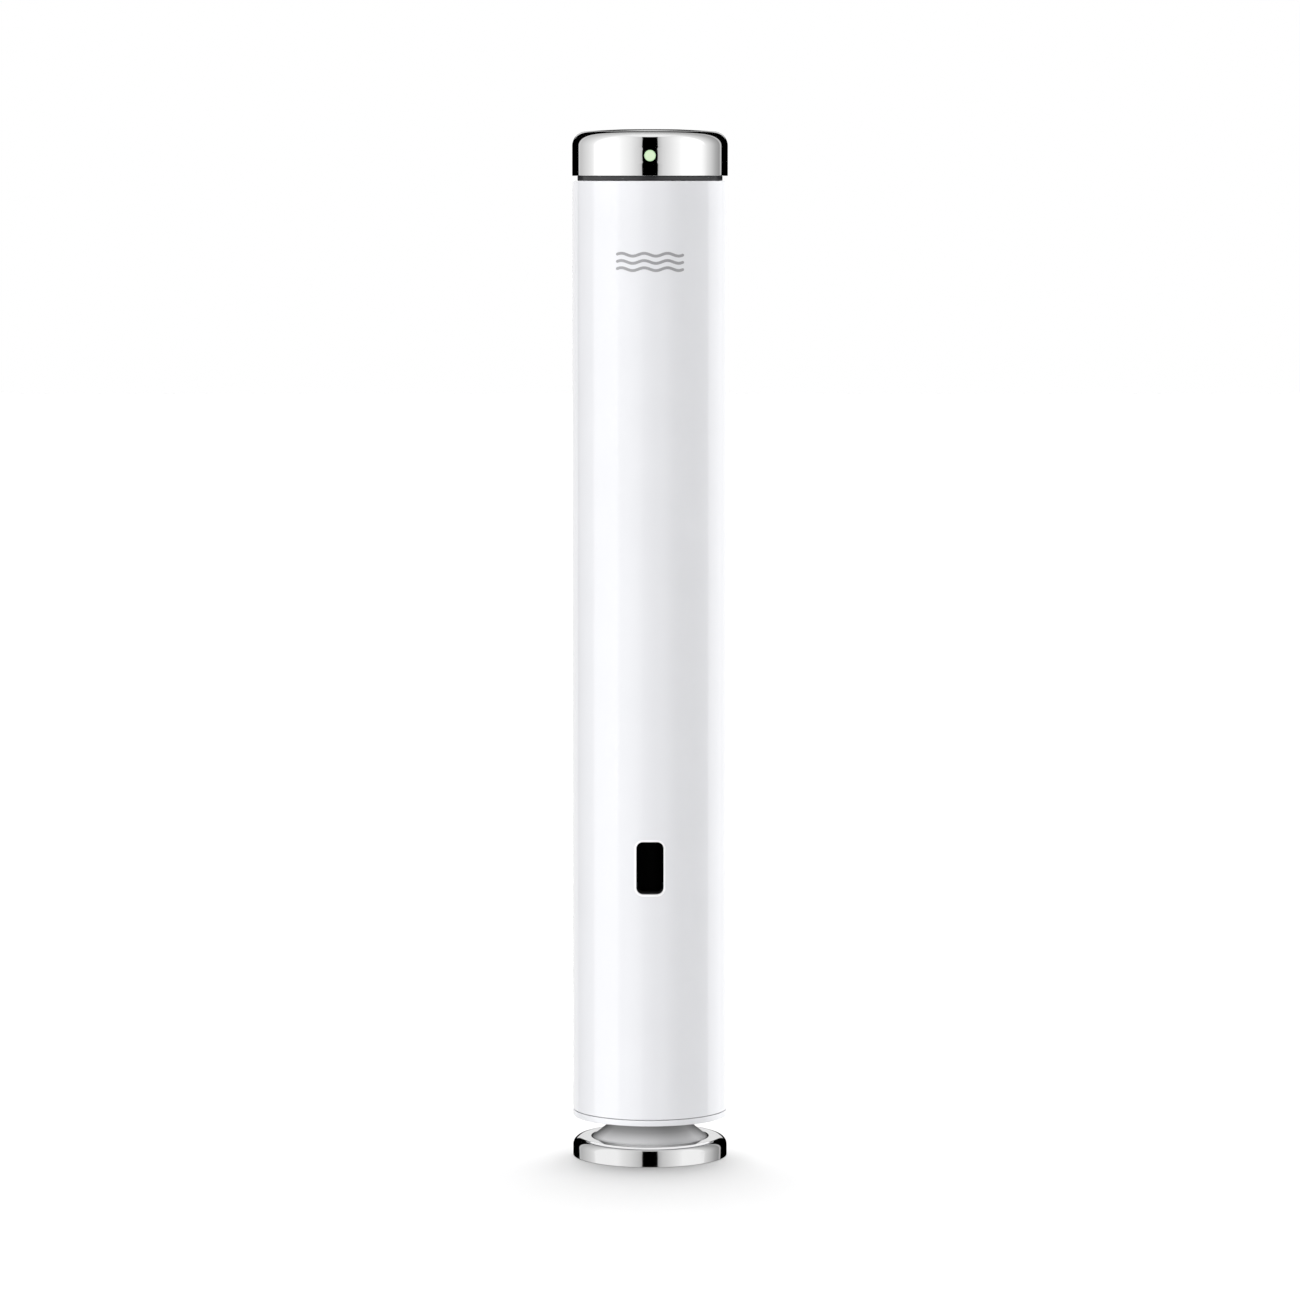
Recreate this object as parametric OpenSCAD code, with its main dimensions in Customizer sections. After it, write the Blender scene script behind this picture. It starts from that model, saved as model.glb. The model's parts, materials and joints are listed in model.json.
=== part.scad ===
// Sous vide circulator: a slim stick with a magnetic foot. Water is drawn in above the foot,
// rises through a heated steel tube and leaves by a window in the side.
// Millimetres, +Z up. The origin is the centre of the foot's underside and -Y is the front.

/* [Body] */
// Outside diameter of the sleeve, the cap and the foot
body_d = 47; // [46.6:0.1:49]
// Height from the underside of the foot to the top of the cap
total_h = 313; // [308:1:330]
// Wall of the white sleeve
sleeve_wall = 1.8; // [1.6:0.1:1.9]

/* [Foot] */
// Height of the steel foot at its rim
foot_h = 5.85; // [5.6:0.05:6.2]
// Open height between the foot's rim and the end ring
intake_gap = 6.75; // [6.6:0.05:7]
// Rounding of the foot's rim
foot_round = 2.6; // [2:0.1:3]
// Visible height of the white end ring
ring_h = 1.8; // [1.5:0.1:2]

/* [Outlet] */
// Width of the outlet window
outlet_w = 8; // [6:0.5:9]
// Height of the outlet window
outlet_h = 15.6; // [12:0.2:16]
// Corner radius of the outlet window
outlet_round = 1.9; // [1:0.1:2.5]
// Height of the middle of the outlet window
outlet_z = 91.2; // [90.5:0.1:91.5]

/* [Cap] */
// Height of the steel cap
cap_h = 14.1; // [14:0.1:14.5]
// Radius of the cap's shoulder
cap_round = 4.3; // [3.5:0.1:4.5]
// Radius of the cap's slightly domed top
crown_r = 240; // [200:10:400]
// Height of the dark ring under the cap
gasket_h = 1.5; // [1.4:0.1:1.6]
// Diameter of the button
button_d = 17.4; // [15:0.2:17.6]
// Travel of the button
button_travel = 0.8; // [0.4:0.1:1]
// Diameter of the indicator lens
lens_d = 3.3; // [3:0.1:4]

/* [Cord gland] */
// Height of the gland on the back
gland_z = 282; // [278:1:284]
// Bore of the gland
gland_bore_d = 6.4; // [5.8:0.1:6.8]

/* [Clip] */
// Height of the clip's pivot pin
clip_z = 222; // [218:1:230]
// Distance of the pivot pin from the body's axis
clip_y = 31.5; // [31:0.1:32.5]
// Width of the clip bracket
clip_w = 16; // [15:0.5:18]

/* [Hidden] */

$fn = 96;
eps = 0.5; // how far a cutter runs past the face it opens
fit = 0.05; // gap round a piece that sits in another
play = 0.3; // gap between pieces that move past each other

body_r = body_d / 2;
sleeve_r = body_r - sleeve_wall; // bore of the sleeve
inner_r = sleeve_r - 0.3; // radius of what slides into the sleeve

// heights of the outer pieces
foot_lift = 0.15; // the pad stands this far below the foot's steel edge
ring_z0 = foot_h + intake_gap;
ring_z1 = ring_z0 + ring_h;
seam = 0.2; // fine line between the end ring and the sleeve
ring_in = sleeve_r - 0.9; // bore of the end ring
sleeve_z0 = ring_z1 + seam;
cap_z0 = total_h - cap_h;
sleeve_z1 = cap_z0 - gasket_h;

// foot
cup_wall = 1;
cone_r = body_r - 5.65; // where the grey cone meets the steel rim
cone_top_r = 7.5;
cone_top_z = 14;
pad_r = body_r - cup_wall - 0.2;
pad_top = 1;
magnet_top = 3.4;
screw_head_z = 2.9;
screw_seat_z = 5.1;

// pump and heater
tube_bore = 16.2;
tube_r = 17;
shaft_r = 2;
hub_r = 7.5;
spider_z1 = 20;
seal_h = 2;
tube_z0 = spider_z1 + seal_h;
tube_z1 = 80;
manifold_z0 = tube_z1 + seal_h;
manifold_z1 = 106;
chamber_top = 102;
chamber_r = 16;
gasket_out = sleeve_r - fit; // outlet gasket, pressed between manifold and sleeve
gasket_in = gasket_out - 1;
lead_y = 18.6; // the heater's leads climb the back
lead_x = 3;

// motor
motor_z0 = manifold_z1 + 2;
motor_z1 = 134;
motor_r = 15;
motor_cap_h = 3;
bearing_r = 6;
bearing_h = 3;
ear_r = 17.4; // radius of the motor's three screw ears
ear_angles = [30, 150, 270];

// chassis and boards
chassis_z0 = 140;
chassis_floor = 2.5;
chassis_top = sleeve_z1;
chassis_lid = 3;
skirt_t = 1.2; // wall round the motor
rail_x = 16.4;
board_x = 17.4;
power_y = 2;
power_t = 1.6;
control_y = -7.6;
control_t = 1.2;
parts_y = power_y + power_t; // face that the power parts stand on
control_top = 288;
post_r = 15; // radius of the cap's three screws
post_angles = [90, 210, 330];

// cap
cap_wall = 1;
base_t = 1.5;
base_z1 = cap_z0 + base_t;
board_t = 1;
board_z1 = base_z1 + board_t;
guide_seat = cap_z0 + 8.1; // ring wall of the cap base ends here
guide_floor = cap_z0 + 6.1;
guide_in = button_d / 2 + play;
seal_z = guide_floor + 1;
spring_z0 = seal_z + 0.5;
button_z0 = total_h - 2.6;
button_recess = 0.15;
switch_z1 = board_z1 + 2;
plunger_z = [switch_z1 - 0.6, guide_floor - 0.4];
stem_r = 2.5;
lens_z = cap_z0 + 6;

// clip
pin_r = 1.5;
ear_w = 2.6;
lever_w = clip_w - 2 * ear_w - 0.8;
lever_t = 2.6;
spring_gap = 6.8; // window in the lever for the clip's spring
saddle_r = body_r + 2.1;
saddle_z = [clip_z - 16, clip_z + 20];
clip_screw_z = [clip_z - 11, clip_z + 15];
jaw_y = body_r + 4.9; // inner face of the jaw
jaw_z = [clip_z - 57, clip_z - 44];

// ---- shared shapes ----

module disc(r, z0, z1) {
    translate([0, 0, z0]) cylinder(r = r, h = z1 - z0);
}

module ring(r_out, r_in, z0, z1) {
    difference() {
        disc(r_out, z0, z1);
        disc(r_in, z0 - eps, z1 + eps);
    }
}

module block(x, y, z) {
    translate([x[0], y[0], z[0]]) cube([x[1] - x[0], y[1] - y[0], z[1] - z[0]]);
}

// Cylinder along +Y from y0 to y1, centred on x and z
module rod_y(r, x, z, y0, y1) {
    translate([x, y0, z]) rotate([-90, 0, 0]) cylinder(r = r, h = y1 - y0);
}

// Cylinder along X, centred on the body's middle plane
module rod_x(r, y, z, length) {
    translate([-length / 2, y, z]) rotate([0, 90, 0]) cylinder(r = r, h = length);
}

// Copies at the given angles round the axis, moved out by r
module at_angles(angles, r) {
    for (a = angles) rotate([0, 0, a]) translate([r, 0, 0]) children();
}

module rounded_rect(w, h, r) {
    square([w - 2 * r, h], center = true);
    square([w, h - 2 * r], center = true);
    for (x = [-1, 1], y = [-1, 1]) translate([x * (w / 2 - r), y * (h / 2 - r)]) circle(r = r);
}

// The outlet window, as a bar running inwards from the front
module window_bar(grow = 0) {
    inside = chamber_r - 3;
    translate([0, -inside, outlet_z]) rotate([90, 0, 0])
        linear_extrude(body_r + eps - inside)
            rounded_rect(outlet_w + 2 * grow, outlet_h + 2 * grow, outlet_round + grow);
}

// Profile given in the Y-Z plane, extruded to a width centred on X = 0
module side_plate(width) {
    translate([-width / 2, 0, 0]) rotate([90, 0, 90]) linear_extrude(width) children();
}

function arc(c, r, a0, a1, n) =
    [for (i = [0:n]) let (a = a0 + (a1 - a0) * i / n) c + r * [cos(a), sin(a)]];

function bezier(p0, p1, p2, n) =
    [for (i = [0:n]) let (t = i / n) (1 - t) ^ 2 * p0 + 2 * t * (1 - t) * p1 + t ^ 2 * p2];

function unit(v) = v / norm(v);

// Direction of a path at point i
function heading(path, i) =
    unit(path[min(i + 1, len(path) - 1)] - path[max(i - 1, 0)]);

// Outline of a strip of thickness t that follows a flat path
function strip(path, t) = let (n = len(path) - 1)
    concat(
        [for (i = [0:n]) let (h = heading(path, i)) path[i] + t / 2 * [-h[1], h[0]]],
        [for (i = [n:-1:0]) let (h = heading(path, i)) path[i] - t / 2 * [-h[1], h[0]]]
    );

// Round wire along a path; side is a direction that the path never runs along
module wire(path, r, side) {
    sides = 8;
    n = len(path);
    points = [for (i = [0:n - 1], k = [0:sides - 1])
        let (h = heading(path, i), u = unit(cross(h, side)), v = cross(h, u), a = 360 * k / sides)
        path[i] + r * (cos(a) * u + sin(a) * v)];
    walls = [for (i = [0:n - 2], k = [0:sides - 1]) let (j = (k + 1) % sides)
        [i * sides + k, i * sides + j, (i + 1) * sides + j, (i + 1) * sides + k]];
    ends = [[for (k = [sides - 1:-1:0]) k], [for (k = [0:sides - 1]) (n - 1) * sides + k]];
    polyhedron(points, concat(walls, ends));
}

// ---- foot ----

module foot_pad() {
    color("dimgray") disc(pad_r, 0, pad_top);
}

module foot_magnet() {
    color("darkgray") ring(pad_r - 0.3, 6, pad_top, magnet_top);
}

module foot_cup() {
    bend = [body_r - foot_round, foot_h - foot_round];
    color("silver") rotate_extrude() polygon(concat(
        [[body_r - cup_wall, foot_lift], [body_r - 0.2, foot_lift], [body_r, foot_lift + 0.2]],
        arc(bend, foot_round, 0, 90, 8),
        [[cone_r, foot_h], [cone_r, foot_h - cup_wall]],
        arc(bend, foot_round - cup_wall, 90, 0, 6)
    ));
}

// Flow cone: its flange lies under the steel rim and its top carries the body
module foot_cone() {
    flange_r = cone_r + 0.95;
    color("gray") difference() {
        rotate_extrude() polygon([
            [0, magnet_top], [flange_r, magnet_top], [flange_r, foot_h - cup_wall - fit],
            [cone_r - fit, foot_h - cup_wall - fit], [cone_r - fit, foot_h - 0.1],
            [9, ring_z0], [cone_top_r, cone_top_z], [0, cone_top_z]
        ]);
        disc(2 + fit, magnet_top - eps, cone_top_z + eps);
        disc(3.9, magnet_top - eps, screw_seat_z);
    }
}

module foot_screw() {
    color("silver") difference() {
        union() {
            disc(3.6, screw_head_z, screw_seat_z);
            disc(2, screw_seat_z - eps, 17);
        }
        translate([0, 0, screw_head_z - eps]) cylinder(r = 1.5, h = 1.7, $fn = 6);
    }
}

// ---- intake and pump ----

module end_ring() {
    spigot_r = sleeve_r - 0.1;
    color("white") rotate_extrude() polygon([
        [ring_in, ring_z0 + 0.4], [ring_in + 0.4, ring_z0], [body_r - 0.3, ring_z0],
        [body_r, ring_z0 + 0.3], [body_r, ring_z1], [spigot_r, ring_z1], [spigot_r, spider_z1],
        [ring_in, spider_z1]
    ]);
}

module intake_spider() {
    color("dimgray") difference() {
        union() {
            ring(ring_in - 0.1, tube_bore, sleeve_z0, spider_z1);
            disc(hub_r, cone_top_z, tube_z0);
            for (a = [90, 210, 330]) rotate([0, 0, a]) block([hub_r - 1, 17], [-1, 1], [15, spider_z1]);
        }
        disc(2 + fit, cone_top_z - eps, 17.2);
        disc(4, 18.5, tube_z0 + eps);
    }
}

module shaft_bush() {
    color("tan") ring(4 - fit, shaft_r + fit, 18.5, tube_z0);
}

// Five flat blades set at a pitch, trimmed to the tube
module impeller() {
    z = [24, 33];
    color("dimgray") difference() {
        union() {
            disc(4.5, z[0], z[1]);
            intersection() {
                ring(tube_bore - 1, 4, z[0], z[1]);
                for (a = [0:72:288]) rotate([0, 0, a]) translate([8, 0, (z[0] + z[1]) / 2])
                    rotate([35, 0, 0]) cube([16, 1.4, 12], center = true);
            }
        }
        disc(shaft_r + 0.02, z[0] - eps, z[1] + eps);
    }
}

module motor_shaft() {
    color("silver") disc(shaft_r, 18.7, motor_z1 + motor_cap_h + 1);
}

// Fixed tube that keeps debris off the spinning shaft
module shaft_shroud() {
    color("black") union() {
        ring(3.6, 2.6, 36, chamber_top);
        ring(8, 2.6, chamber_top - 1, chamber_top);
    }
}

// ---- heater ----

module tube_seals() {
    color("dimgray") for (z = [spider_z1, tube_z1]) ring(17.8, 16, z, z + seal_h);
}

module heater_tube() {
    color("silver") ring(tube_r, tube_bore, tube_z0, tube_z1);
}

module heater_film() {
    color("saddlebrown") difference() {
        ring(tube_r + 0.45, tube_r + fit, 30, 74);
        block([-1, 1], [0, 20], [29, 75]);
    }
}

module thermal_fuse() {
    color("ivory") translate([-8.3, 17.6, 0]) disc(1.6, 45, 57);
}

module heater_leads() {
    color("firebrick") for (x = [-lead_x, lead_x]) wire([
        [x, lead_y, 70], [x, lead_y, 143], [x, 15, 149], [x, 7, 151], [x, parts_y + 0.1, 151]
    ], 0.8, [1, 0, 0]);
}

// ---- outlet ----

// Turns the water out through the window; its ceiling keeps the motor dry
module outlet_manifold() {
    color("black") difference() {
        disc(inner_r, manifold_z0, manifold_z1);
        disc(chamber_r, manifold_z0 - eps, chamber_top);
        disc(5.02, chamber_top - eps, manifold_z1 + eps);
        window_bar();
        intersection() { // seat of the outlet gasket
            ring(body_r, gasket_in - fit, outlet_z - 10.5, outlet_z + 10.5);
            block([-7, 7], [-body_r, 0], [manifold_z0 - eps, outlet_z + 10.5]);
        }
        block([-5, 5], [lead_y - 1, body_r], [manifold_z0 - eps, manifold_z1 + eps]);
        translate([8, 8, 0]) disc(1.5 + fit, chamber_top - eps, manifold_z1 + eps);
        at_angles(ear_angles, ear_r) disc(1.27, chamber_top + 0.4, manifold_z1 + eps);
    }
}

module outlet_gasket() {
    color("black") difference() {
        intersection() {
            ring(gasket_out, gasket_in, outlet_z - 9.1, outlet_z + 10.4);
            block([-6.9, 6.9], [-body_r, 0], [outlet_z - 9.1, outlet_z + 10.4]);
        }
        window_bar(0.1);
    }
}

module temperature_probe() {
    color("silver") translate([8, 8, 0]) disc(1.5, 90, manifold_z1);
}

module shaft_seal() {
    color("black") ring(5, shaft_r + 0.06, chamber_top, manifold_z1);
}

// ---- motor ----

module motor_cushion() {
    color("black") ring(motor_r - 0.1, 6, manifold_z1, motor_z0);
}

module motor_can() {
    color("silver") difference() {
        union() {
            disc(motor_r, motor_z0, motor_z1);
            at_angles(ear_angles, ear_r) {
                disc(2.5, motor_z0, motor_z0 + 2);
                block([-4, 0], [-2.5, 2.5], [motor_z0, motor_z0 + 2]);
            }
        }
        disc(motor_r - 1, motor_z0 + 5, motor_z1 + eps);
        disc(bearing_r + fit, motor_z0 + 2, motor_z0 + 6);
        disc(3, motor_z0 - eps, motor_z0 + 3);
        at_angles(ear_angles, ear_r) disc(1.35, motor_z0 - eps, motor_z0 + 2 + eps);
    }
}

// Laminated ring with six wound teeth
module motor_stator() {
    z = [motor_z0 + 6, motor_z1 - 3];
    color("peru") union() {
        ring(motor_r - 1 - fit, 11, z[0], z[1]);
        for (a = [0:60:300]) rotate([0, 0, a]) block([8, 11.5], [-2.6, 2.6], z);
    }
}

module motor_rotor() {
    color("darkgray") ring(7.4, shaft_r + 0.02, motor_z0 + 6.5, motor_z1 - 3.5);
}

module motor_bearings() {
    color("silver") for (z = [motor_z0 + 2, motor_z1]) ring(bearing_r, shaft_r + 0.03, z, z + bearing_h);
}

module motor_cap() {
    color("gainsboro") difference() {
        disc(motor_r, motor_z1, motor_z1 + motor_cap_h);
        disc(bearing_r + fit, motor_z1 - eps, motor_z1 + motor_cap_h + eps);
    }
}

module motor_screws() {
    color("silver") at_angles(ear_angles, ear_r) {
        disc(1.25, chamber_top + 0.5, motor_z0 + 2.5);
        disc(2.1, motor_z0 + 2, motor_z0 + 3.6);
    }
}

// ---- electronics ----

module rail() {
    difference() {
        intersection() {
            block([rail_x, 21], [-9.5, 5.5], [chassis_z0, chassis_top]);
            disc(inner_r - 0.1, chassis_z0, chassis_top);
        }
        block([0, board_x + fit], [power_y - fit, parts_y + fit], [chassis_z0 + 4, 290]);
        block([0, board_x + fit], [control_y - fit, control_y + control_t + fit], [180, 290]);
    }
}

module chassis() {
    color("gainsboro") difference() {
        union() {
            ring(inner_r, inner_r - skirt_t, manifold_z1, chassis_z0 + 1);
            disc(inner_r, chassis_z0, chassis_z0 + chassis_floor);
            rail();
            mirror([1, 0, 0]) rail();
            disc(inner_r, chassis_top - chassis_lid, chassis_top);
        }
        disc(7, chassis_z0 - eps, chassis_z0 + chassis_floor + eps);
        for (x = [-lead_x, lead_x]) translate([x, lead_y, 0]) disc(1.1, chassis_z0 - eps, 144);
        at_angles(post_angles, post_r) disc(1.3, chassis_top - chassis_lid - eps, chassis_top + eps);
        block([-4.5, 4.5], [-8.8, -7.1], [chassis_top - chassis_lid - eps, chassis_top + eps]);
    }
}

module power_board() {
    color("seagreen") block([-board_x, board_x], [power_y, parts_y], [146, 264]);
}

module relay() {
    color("navy") block([-16, -1], [parts_y, parts_y + 7.5], [158, 178]);
}

module transformer() {
    color("goldenrod") difference() {
        block([-9, 9], [parts_y, parts_y + 13], [200, 220]);
        block([-5.5, 5.5], [parts_y + 10, parts_y + 14], [203, 217]);
    }
}

module capacitors() {
    color("black") for (x = [-8, 8]) translate([x, parts_y + 5.1, 0]) disc(5, 226, 246);
}

// Switches the heater; its tab lies on the board
module triac() {
    color("dimgray") union() {
        block([3, 13], [parts_y, parts_y + 4.4], [160, 170]);
        block([3, 13], [parts_y, parts_y + 1.3], [169, 176]);
    }
}

module control_board() {
    color("seagreen") block([-board_x, board_x], [control_y, control_y + control_t], [184, control_top]);
}

module wireless_module() {
    color("silver") block([-8, 8], [control_y - 2.4, control_y], [246, 270]);
}

module cap_ribbon() {
    color("ivory") block([-4, 4], [control_y - 0.6, control_y - 0.1], [276, base_z1]);
}

// ---- sleeve ----

module sleeve() {
    edge = 0.25;
    color("white") difference() {
        rotate_extrude() polygon([
            [sleeve_r, sleeve_z0], [body_r, sleeve_z0], [body_r, sleeve_z1 - edge],
            [body_r - edge, sleeve_z1], [sleeve_r, sleeve_z1]
        ]);
        window_bar();
        rod_y(4.5, 0, gland_z, 10, body_r + eps);
        for (z = clip_screw_z) rod_y(1.6, 0, z, 10, body_r + eps);
    }
}

// Bush that the mains cord enters by; its flange follows the sleeve
module cord_gland() {
    color("white") difference() {
        union() {
            difference() {
                rod_y(6, 0, gland_z, sleeve_r, body_r + 1.5);
                disc(body_r + fit, gland_z - 8, gland_z + 8);
            }
            rod_y(4.4, 0, gland_z, 17.6, body_r + 1);
        }
        rod_y(gland_bore_d / 2, 0, gland_z, 17, body_r + 2);
    }
}

module gland_nut() {
    color("white") difference() {
        translate([0, 17.8, gland_z]) rotate([-90, 0, 0]) cylinder(r = 6.4, h = 2.2, $fn = 6);
        rod_y(4.4 + fit, 0, gland_z, 17, 21);
    }
}

// ---- cap ----

// Radial profile of the cap's outside, set inwards by depth: shoulder, then domed top
function cap_profile(depth) = let (
        dome = [0, total_h - crown_r],
        corner_x = body_r - cap_round,
        rise = sqrt((crown_r - cap_round) ^ 2 - corner_x ^ 2),
        meet = atan2(rise, corner_x)
    )
    concat(
        arc([corner_x, dome[1] + rise], cap_round - depth, 0, meet, 8),
        arc(dome, crown_r - depth, meet + 0.6, 90, 5)
    );

module cap_gasket() {
    color("black") ring(body_r - 1.6, 18.6, sleeve_z1, cap_z0);
}

module cap_shell() {
    edge = 0.2;
    color("silver") difference() {
        rotate_extrude() polygon(concat(
            [[0, cap_z0], [body_r - edge, cap_z0], [body_r, cap_z0 + edge]], cap_profile(0)
        ));
        rotate_extrude() polygon(concat(
            [[0, cap_z0 - eps], [body_r - cap_wall, cap_z0 - eps]], cap_profile(cap_wall)
        ));
        disc(guide_in, cap_z0, total_h + eps);
        rod_y(lens_d / 2 + fit, 0, lens_z, -body_r - eps, -body_r + 3);
    }
}

module cap_base() {
    color("dimgray") difference() {
        union() {
            disc(body_r - cap_wall - 0.1, cap_z0, base_z1);
            ring(body_r - cap_wall - 0.1, 20.5, cap_z0, guide_seat);
            at_angles(post_angles, post_r) disc(2.8, cap_z0, cap_z0 + 5.6);
        }
        at_angles(post_angles, post_r) disc(1.25, cap_z0 - eps, cap_z0 + 4.6);
        block([-4.5, 4.5], [-8.8, -7.1], [cap_z0 - eps, base_z1 + eps]);
        rod_y(lens_d / 2 + fit, 0, lens_z, -body_r, -19);
    }
}

module cap_screws() {
    color("silver") at_angles(post_angles, post_r) {
        disc(1.2, chassis_top - chassis_lid - eps, cap_z0 + 4.1);
        disc(2.4, chassis_top - chassis_lid - 2, chassis_top - chassis_lid);
    }
}

module cap_board() {
    color("seagreen") union() {
        disc(11.5, base_z1, board_z1);
        block([-5, 5], [-19.5, 0], [base_z1, board_z1]);
    }
}

module switch_body() {
    color("black") difference() {
        block([-3, 3], [-3, 3], [board_z1, switch_z1]);
        disc(1.7, plunger_z[0] - button_travel - 0.2, switch_z1 + eps);
    }
}

module switch_plunger() {
    color("ivory") disc(1.5, plunger_z[0], plunger_z[1]);
}

module led() {
    color("palegreen") block([-2, 2], [-18.4, -15.4], [board_z1, board_z1 + 5.2]);
}

module led_lens() {
    color("palegreen") intersection() {
        rod_y(lens_d / 2, 0, lens_z, -body_r, -18.5);
        disc(body_r, cap_z0, total_h);
    }
}

module button_guide() {
    color("dimgray") difference() {
        union() {
            disc(guide_in + 1.6, guide_floor, total_h - cap_wall - 0.4);
            disc(body_r - cap_wall - 0.3, guide_seat, guide_seat + 1.2);
        }
        disc(guide_in, seal_z, total_h);
        disc(stem_r + play, guide_floor - eps, seal_z + eps);
    }
}

module button_seal() {
    color("darkgray") ring(guide_in - fit, stem_r + play, seal_z, spring_z0);
}

module button_spring() {
    wire_r = 0.3;
    turns = 3;
    steps = 16 * turns;
    z0 = spring_z0 + wire_r + fit;
    z1 = button_z0 - wire_r - fit;
    color("silver") wire(
        [for (i = [0:steps]) let (a = 360 * turns * i / steps)
            [5.2 * cos(a), 5.2 * sin(a), z0 + (z1 - z0) * i / steps]],
        wire_r, [0, 0, 1]
    );
}

module button() {
    r = button_d / 2;
    dome = [0, total_h - crown_r];
    crown = crown_r - button_recess;
    color("silver") union() {
        rotate_extrude() polygon(concat(
            [[0, button_z0], [r, button_z0]],
            arc(dome, crown, acos((r - 0.3) / crown), 90, 3)
        ));
        disc(stem_r, plunger_z[1], button_z0 + eps);
    }
}

// ---- clip ----

module clip_bracket() {
    ear_x = clip_w / 2 - ear_w;
    color("white") difference() {
        union() {
            intersection() {
                ring(saddle_r, body_r + fit, saddle_z[0], saddle_z[1]);
                block([-clip_w / 2, clip_w / 2], [0, saddle_r], saddle_z);
            }
            for (side = [-1, 1]) translate([side * (ear_x + ear_w / 2), 0, 0]) side_plate(ear_w) {
                translate([clip_y, clip_z]) circle(r = 4.6);
                translate([body_r - 1, clip_z - 4.6]) square([clip_y - body_r + 1, 9.2]);
            }
        }
        disc(body_r + fit, saddle_z[0] - eps, saddle_z[1] + eps);
        rod_x(pin_r + 0.02, clip_y, clip_z, clip_w + 2);
        for (z = clip_screw_z) rod_y(1.6, 0, z, body_r - 1, saddle_r + eps);
    }
}

// Threaded plate behind the sleeve wall
module clip_nut_plate() {
    color("silver") difference() {
        intersection() {
            ring(sleeve_r - fit, sleeve_r - 1.5, saddle_z[0], saddle_z[1]);
            block([-7, 7], [0, sleeve_r], saddle_z);
        }
        for (z = clip_screw_z) rod_y(1.52, 0, z, 15, sleeve_r + eps);
    }
}

module clip_screws() {
    color("silver") for (z = clip_screw_z) difference() {
        union() {
            rod_y(1.5, 0, z, sleeve_r - 2, saddle_r + eps);
            rod_y(2.8, 0, z, saddle_r + 0.02, saddle_r + 1.8);
        }
        translate([0, saddle_r + 0.8, z]) rotate([-90, 0, 0]) cylinder(r = 1.3, h = 2, $fn = 6);
    }
}

module clip_pin() {
    color("silver") union() {
        rod_x(pin_r, clip_y, clip_z, clip_w + 0.6);
        for (side = [-1, 1]) translate([side * (clip_w / 2 + 0.5), 0, 0]) rod_x(2.2, clip_y, clip_z, 0.8);
    }
}

// Path of the lever from the thumb tab, past the pin, down to the jaw
function lever_path() = let (
        tip = [clip_y + 5, clip_z + 24],
        hub = [clip_y + 0.6, clip_z],
        jaw = [jaw_y + lever_t / 2, jaw_z[1]]
    )
    concat(
        [tip],
        [[clip_y + 1.4, clip_z + 5]],
        bezier(hub, [clip_y + 5, clip_z - 26], jaw, 10),
        [[jaw[0], jaw_z[0]], [jaw[0] + 2, jaw_z[0] - 4.5]]
    );

module clip_lever() {
    color("white") difference() {
        union() {
            side_plate(lever_w) {
                polygon(strip(lever_path(), lever_t));
                translate([clip_y, clip_z]) circle(r = 3.9);
            }
            intersection() { // the tab and the jaw are wider than the neck
                side_plate(clip_w - 2) polygon(strip(lever_path(), lever_t));
                union() {
                    block([-clip_w, clip_w], [0, 60], [clip_z + 9, clip_z + 30]);
                    block([-clip_w, clip_w], [0, 60], [clip_z - 70, clip_z - 30]);
                }
            }
        }
        rod_x(pin_r + 0.06, clip_y, clip_z, clip_w);
        rod_x(4.3, clip_y, clip_z, spring_gap);
        block([-spring_gap / 2, spring_gap / 2], [clip_y - 4, clip_y + 5], [clip_z, clip_z + 12]);
    }
}

module clip_pad() {
    color("dimgray") block([-clip_w / 2 + 2, clip_w / 2 - 2], [body_r + 0.9, jaw_y], jaw_z);
}

// Torsion spring on the pin: one leg bears on the bracket, the other on the edge of the window
module clip_spring() {
    wire_r = 0.4;
    coil_r = 2.6;
    half = 2.6;
    steps = 56;
    start = 194.6;
    sweep = 1253.6;
    color("silver") wire(concat(
        [[-half, clip_y - 5.2, clip_z + 10]],
        [for (i = [0:steps]) let (a = start + sweep * i / steps)
            [-half + 2 * half * i / steps, clip_y + coil_r * cos(a), clip_z + coil_r * sin(a)]],
        [[half, clip_y + 0.5, clip_z + 15]]
    ), wire_r, [1, 0, 0]);
}

foot_pad();
foot_magnet();
foot_cup();
foot_cone();
foot_screw();
end_ring();
intake_spider();
shaft_bush();
impeller();
motor_shaft();
shaft_shroud();
tube_seals();
heater_tube();
heater_film();
thermal_fuse();
heater_leads();
outlet_manifold();
outlet_gasket();
temperature_probe();
shaft_seal();
motor_cushion();
motor_can();
motor_stator();
motor_rotor();
motor_bearings();
motor_cap();
motor_screws();
chassis();
power_board();
relay();
transformer();
capacitors();
triac();
control_board();
wireless_module();
cap_ribbon();
sleeve();
cord_gland();
gland_nut();
cap_gasket();
cap_base();
cap_screws();
cap_board();
switch_body();
switch_plunger();
led();
led_lens();
button_guide();
button_seal();
button_spring();
button();
cap_shell();
clip_bracket();
clip_nut_plate();
clip_screws();
clip_pin();
clip_lever();
clip_pad();
clip_spring();
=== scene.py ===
"""Looks of the sous vide circulator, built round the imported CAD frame.

Everything is in metres, in the CAD frame: +Z up, -Y the front, origin under the foot.
Shapes are worked out in millimetres and turned into metres when a mesh is made.
"""

import json
import math

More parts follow.
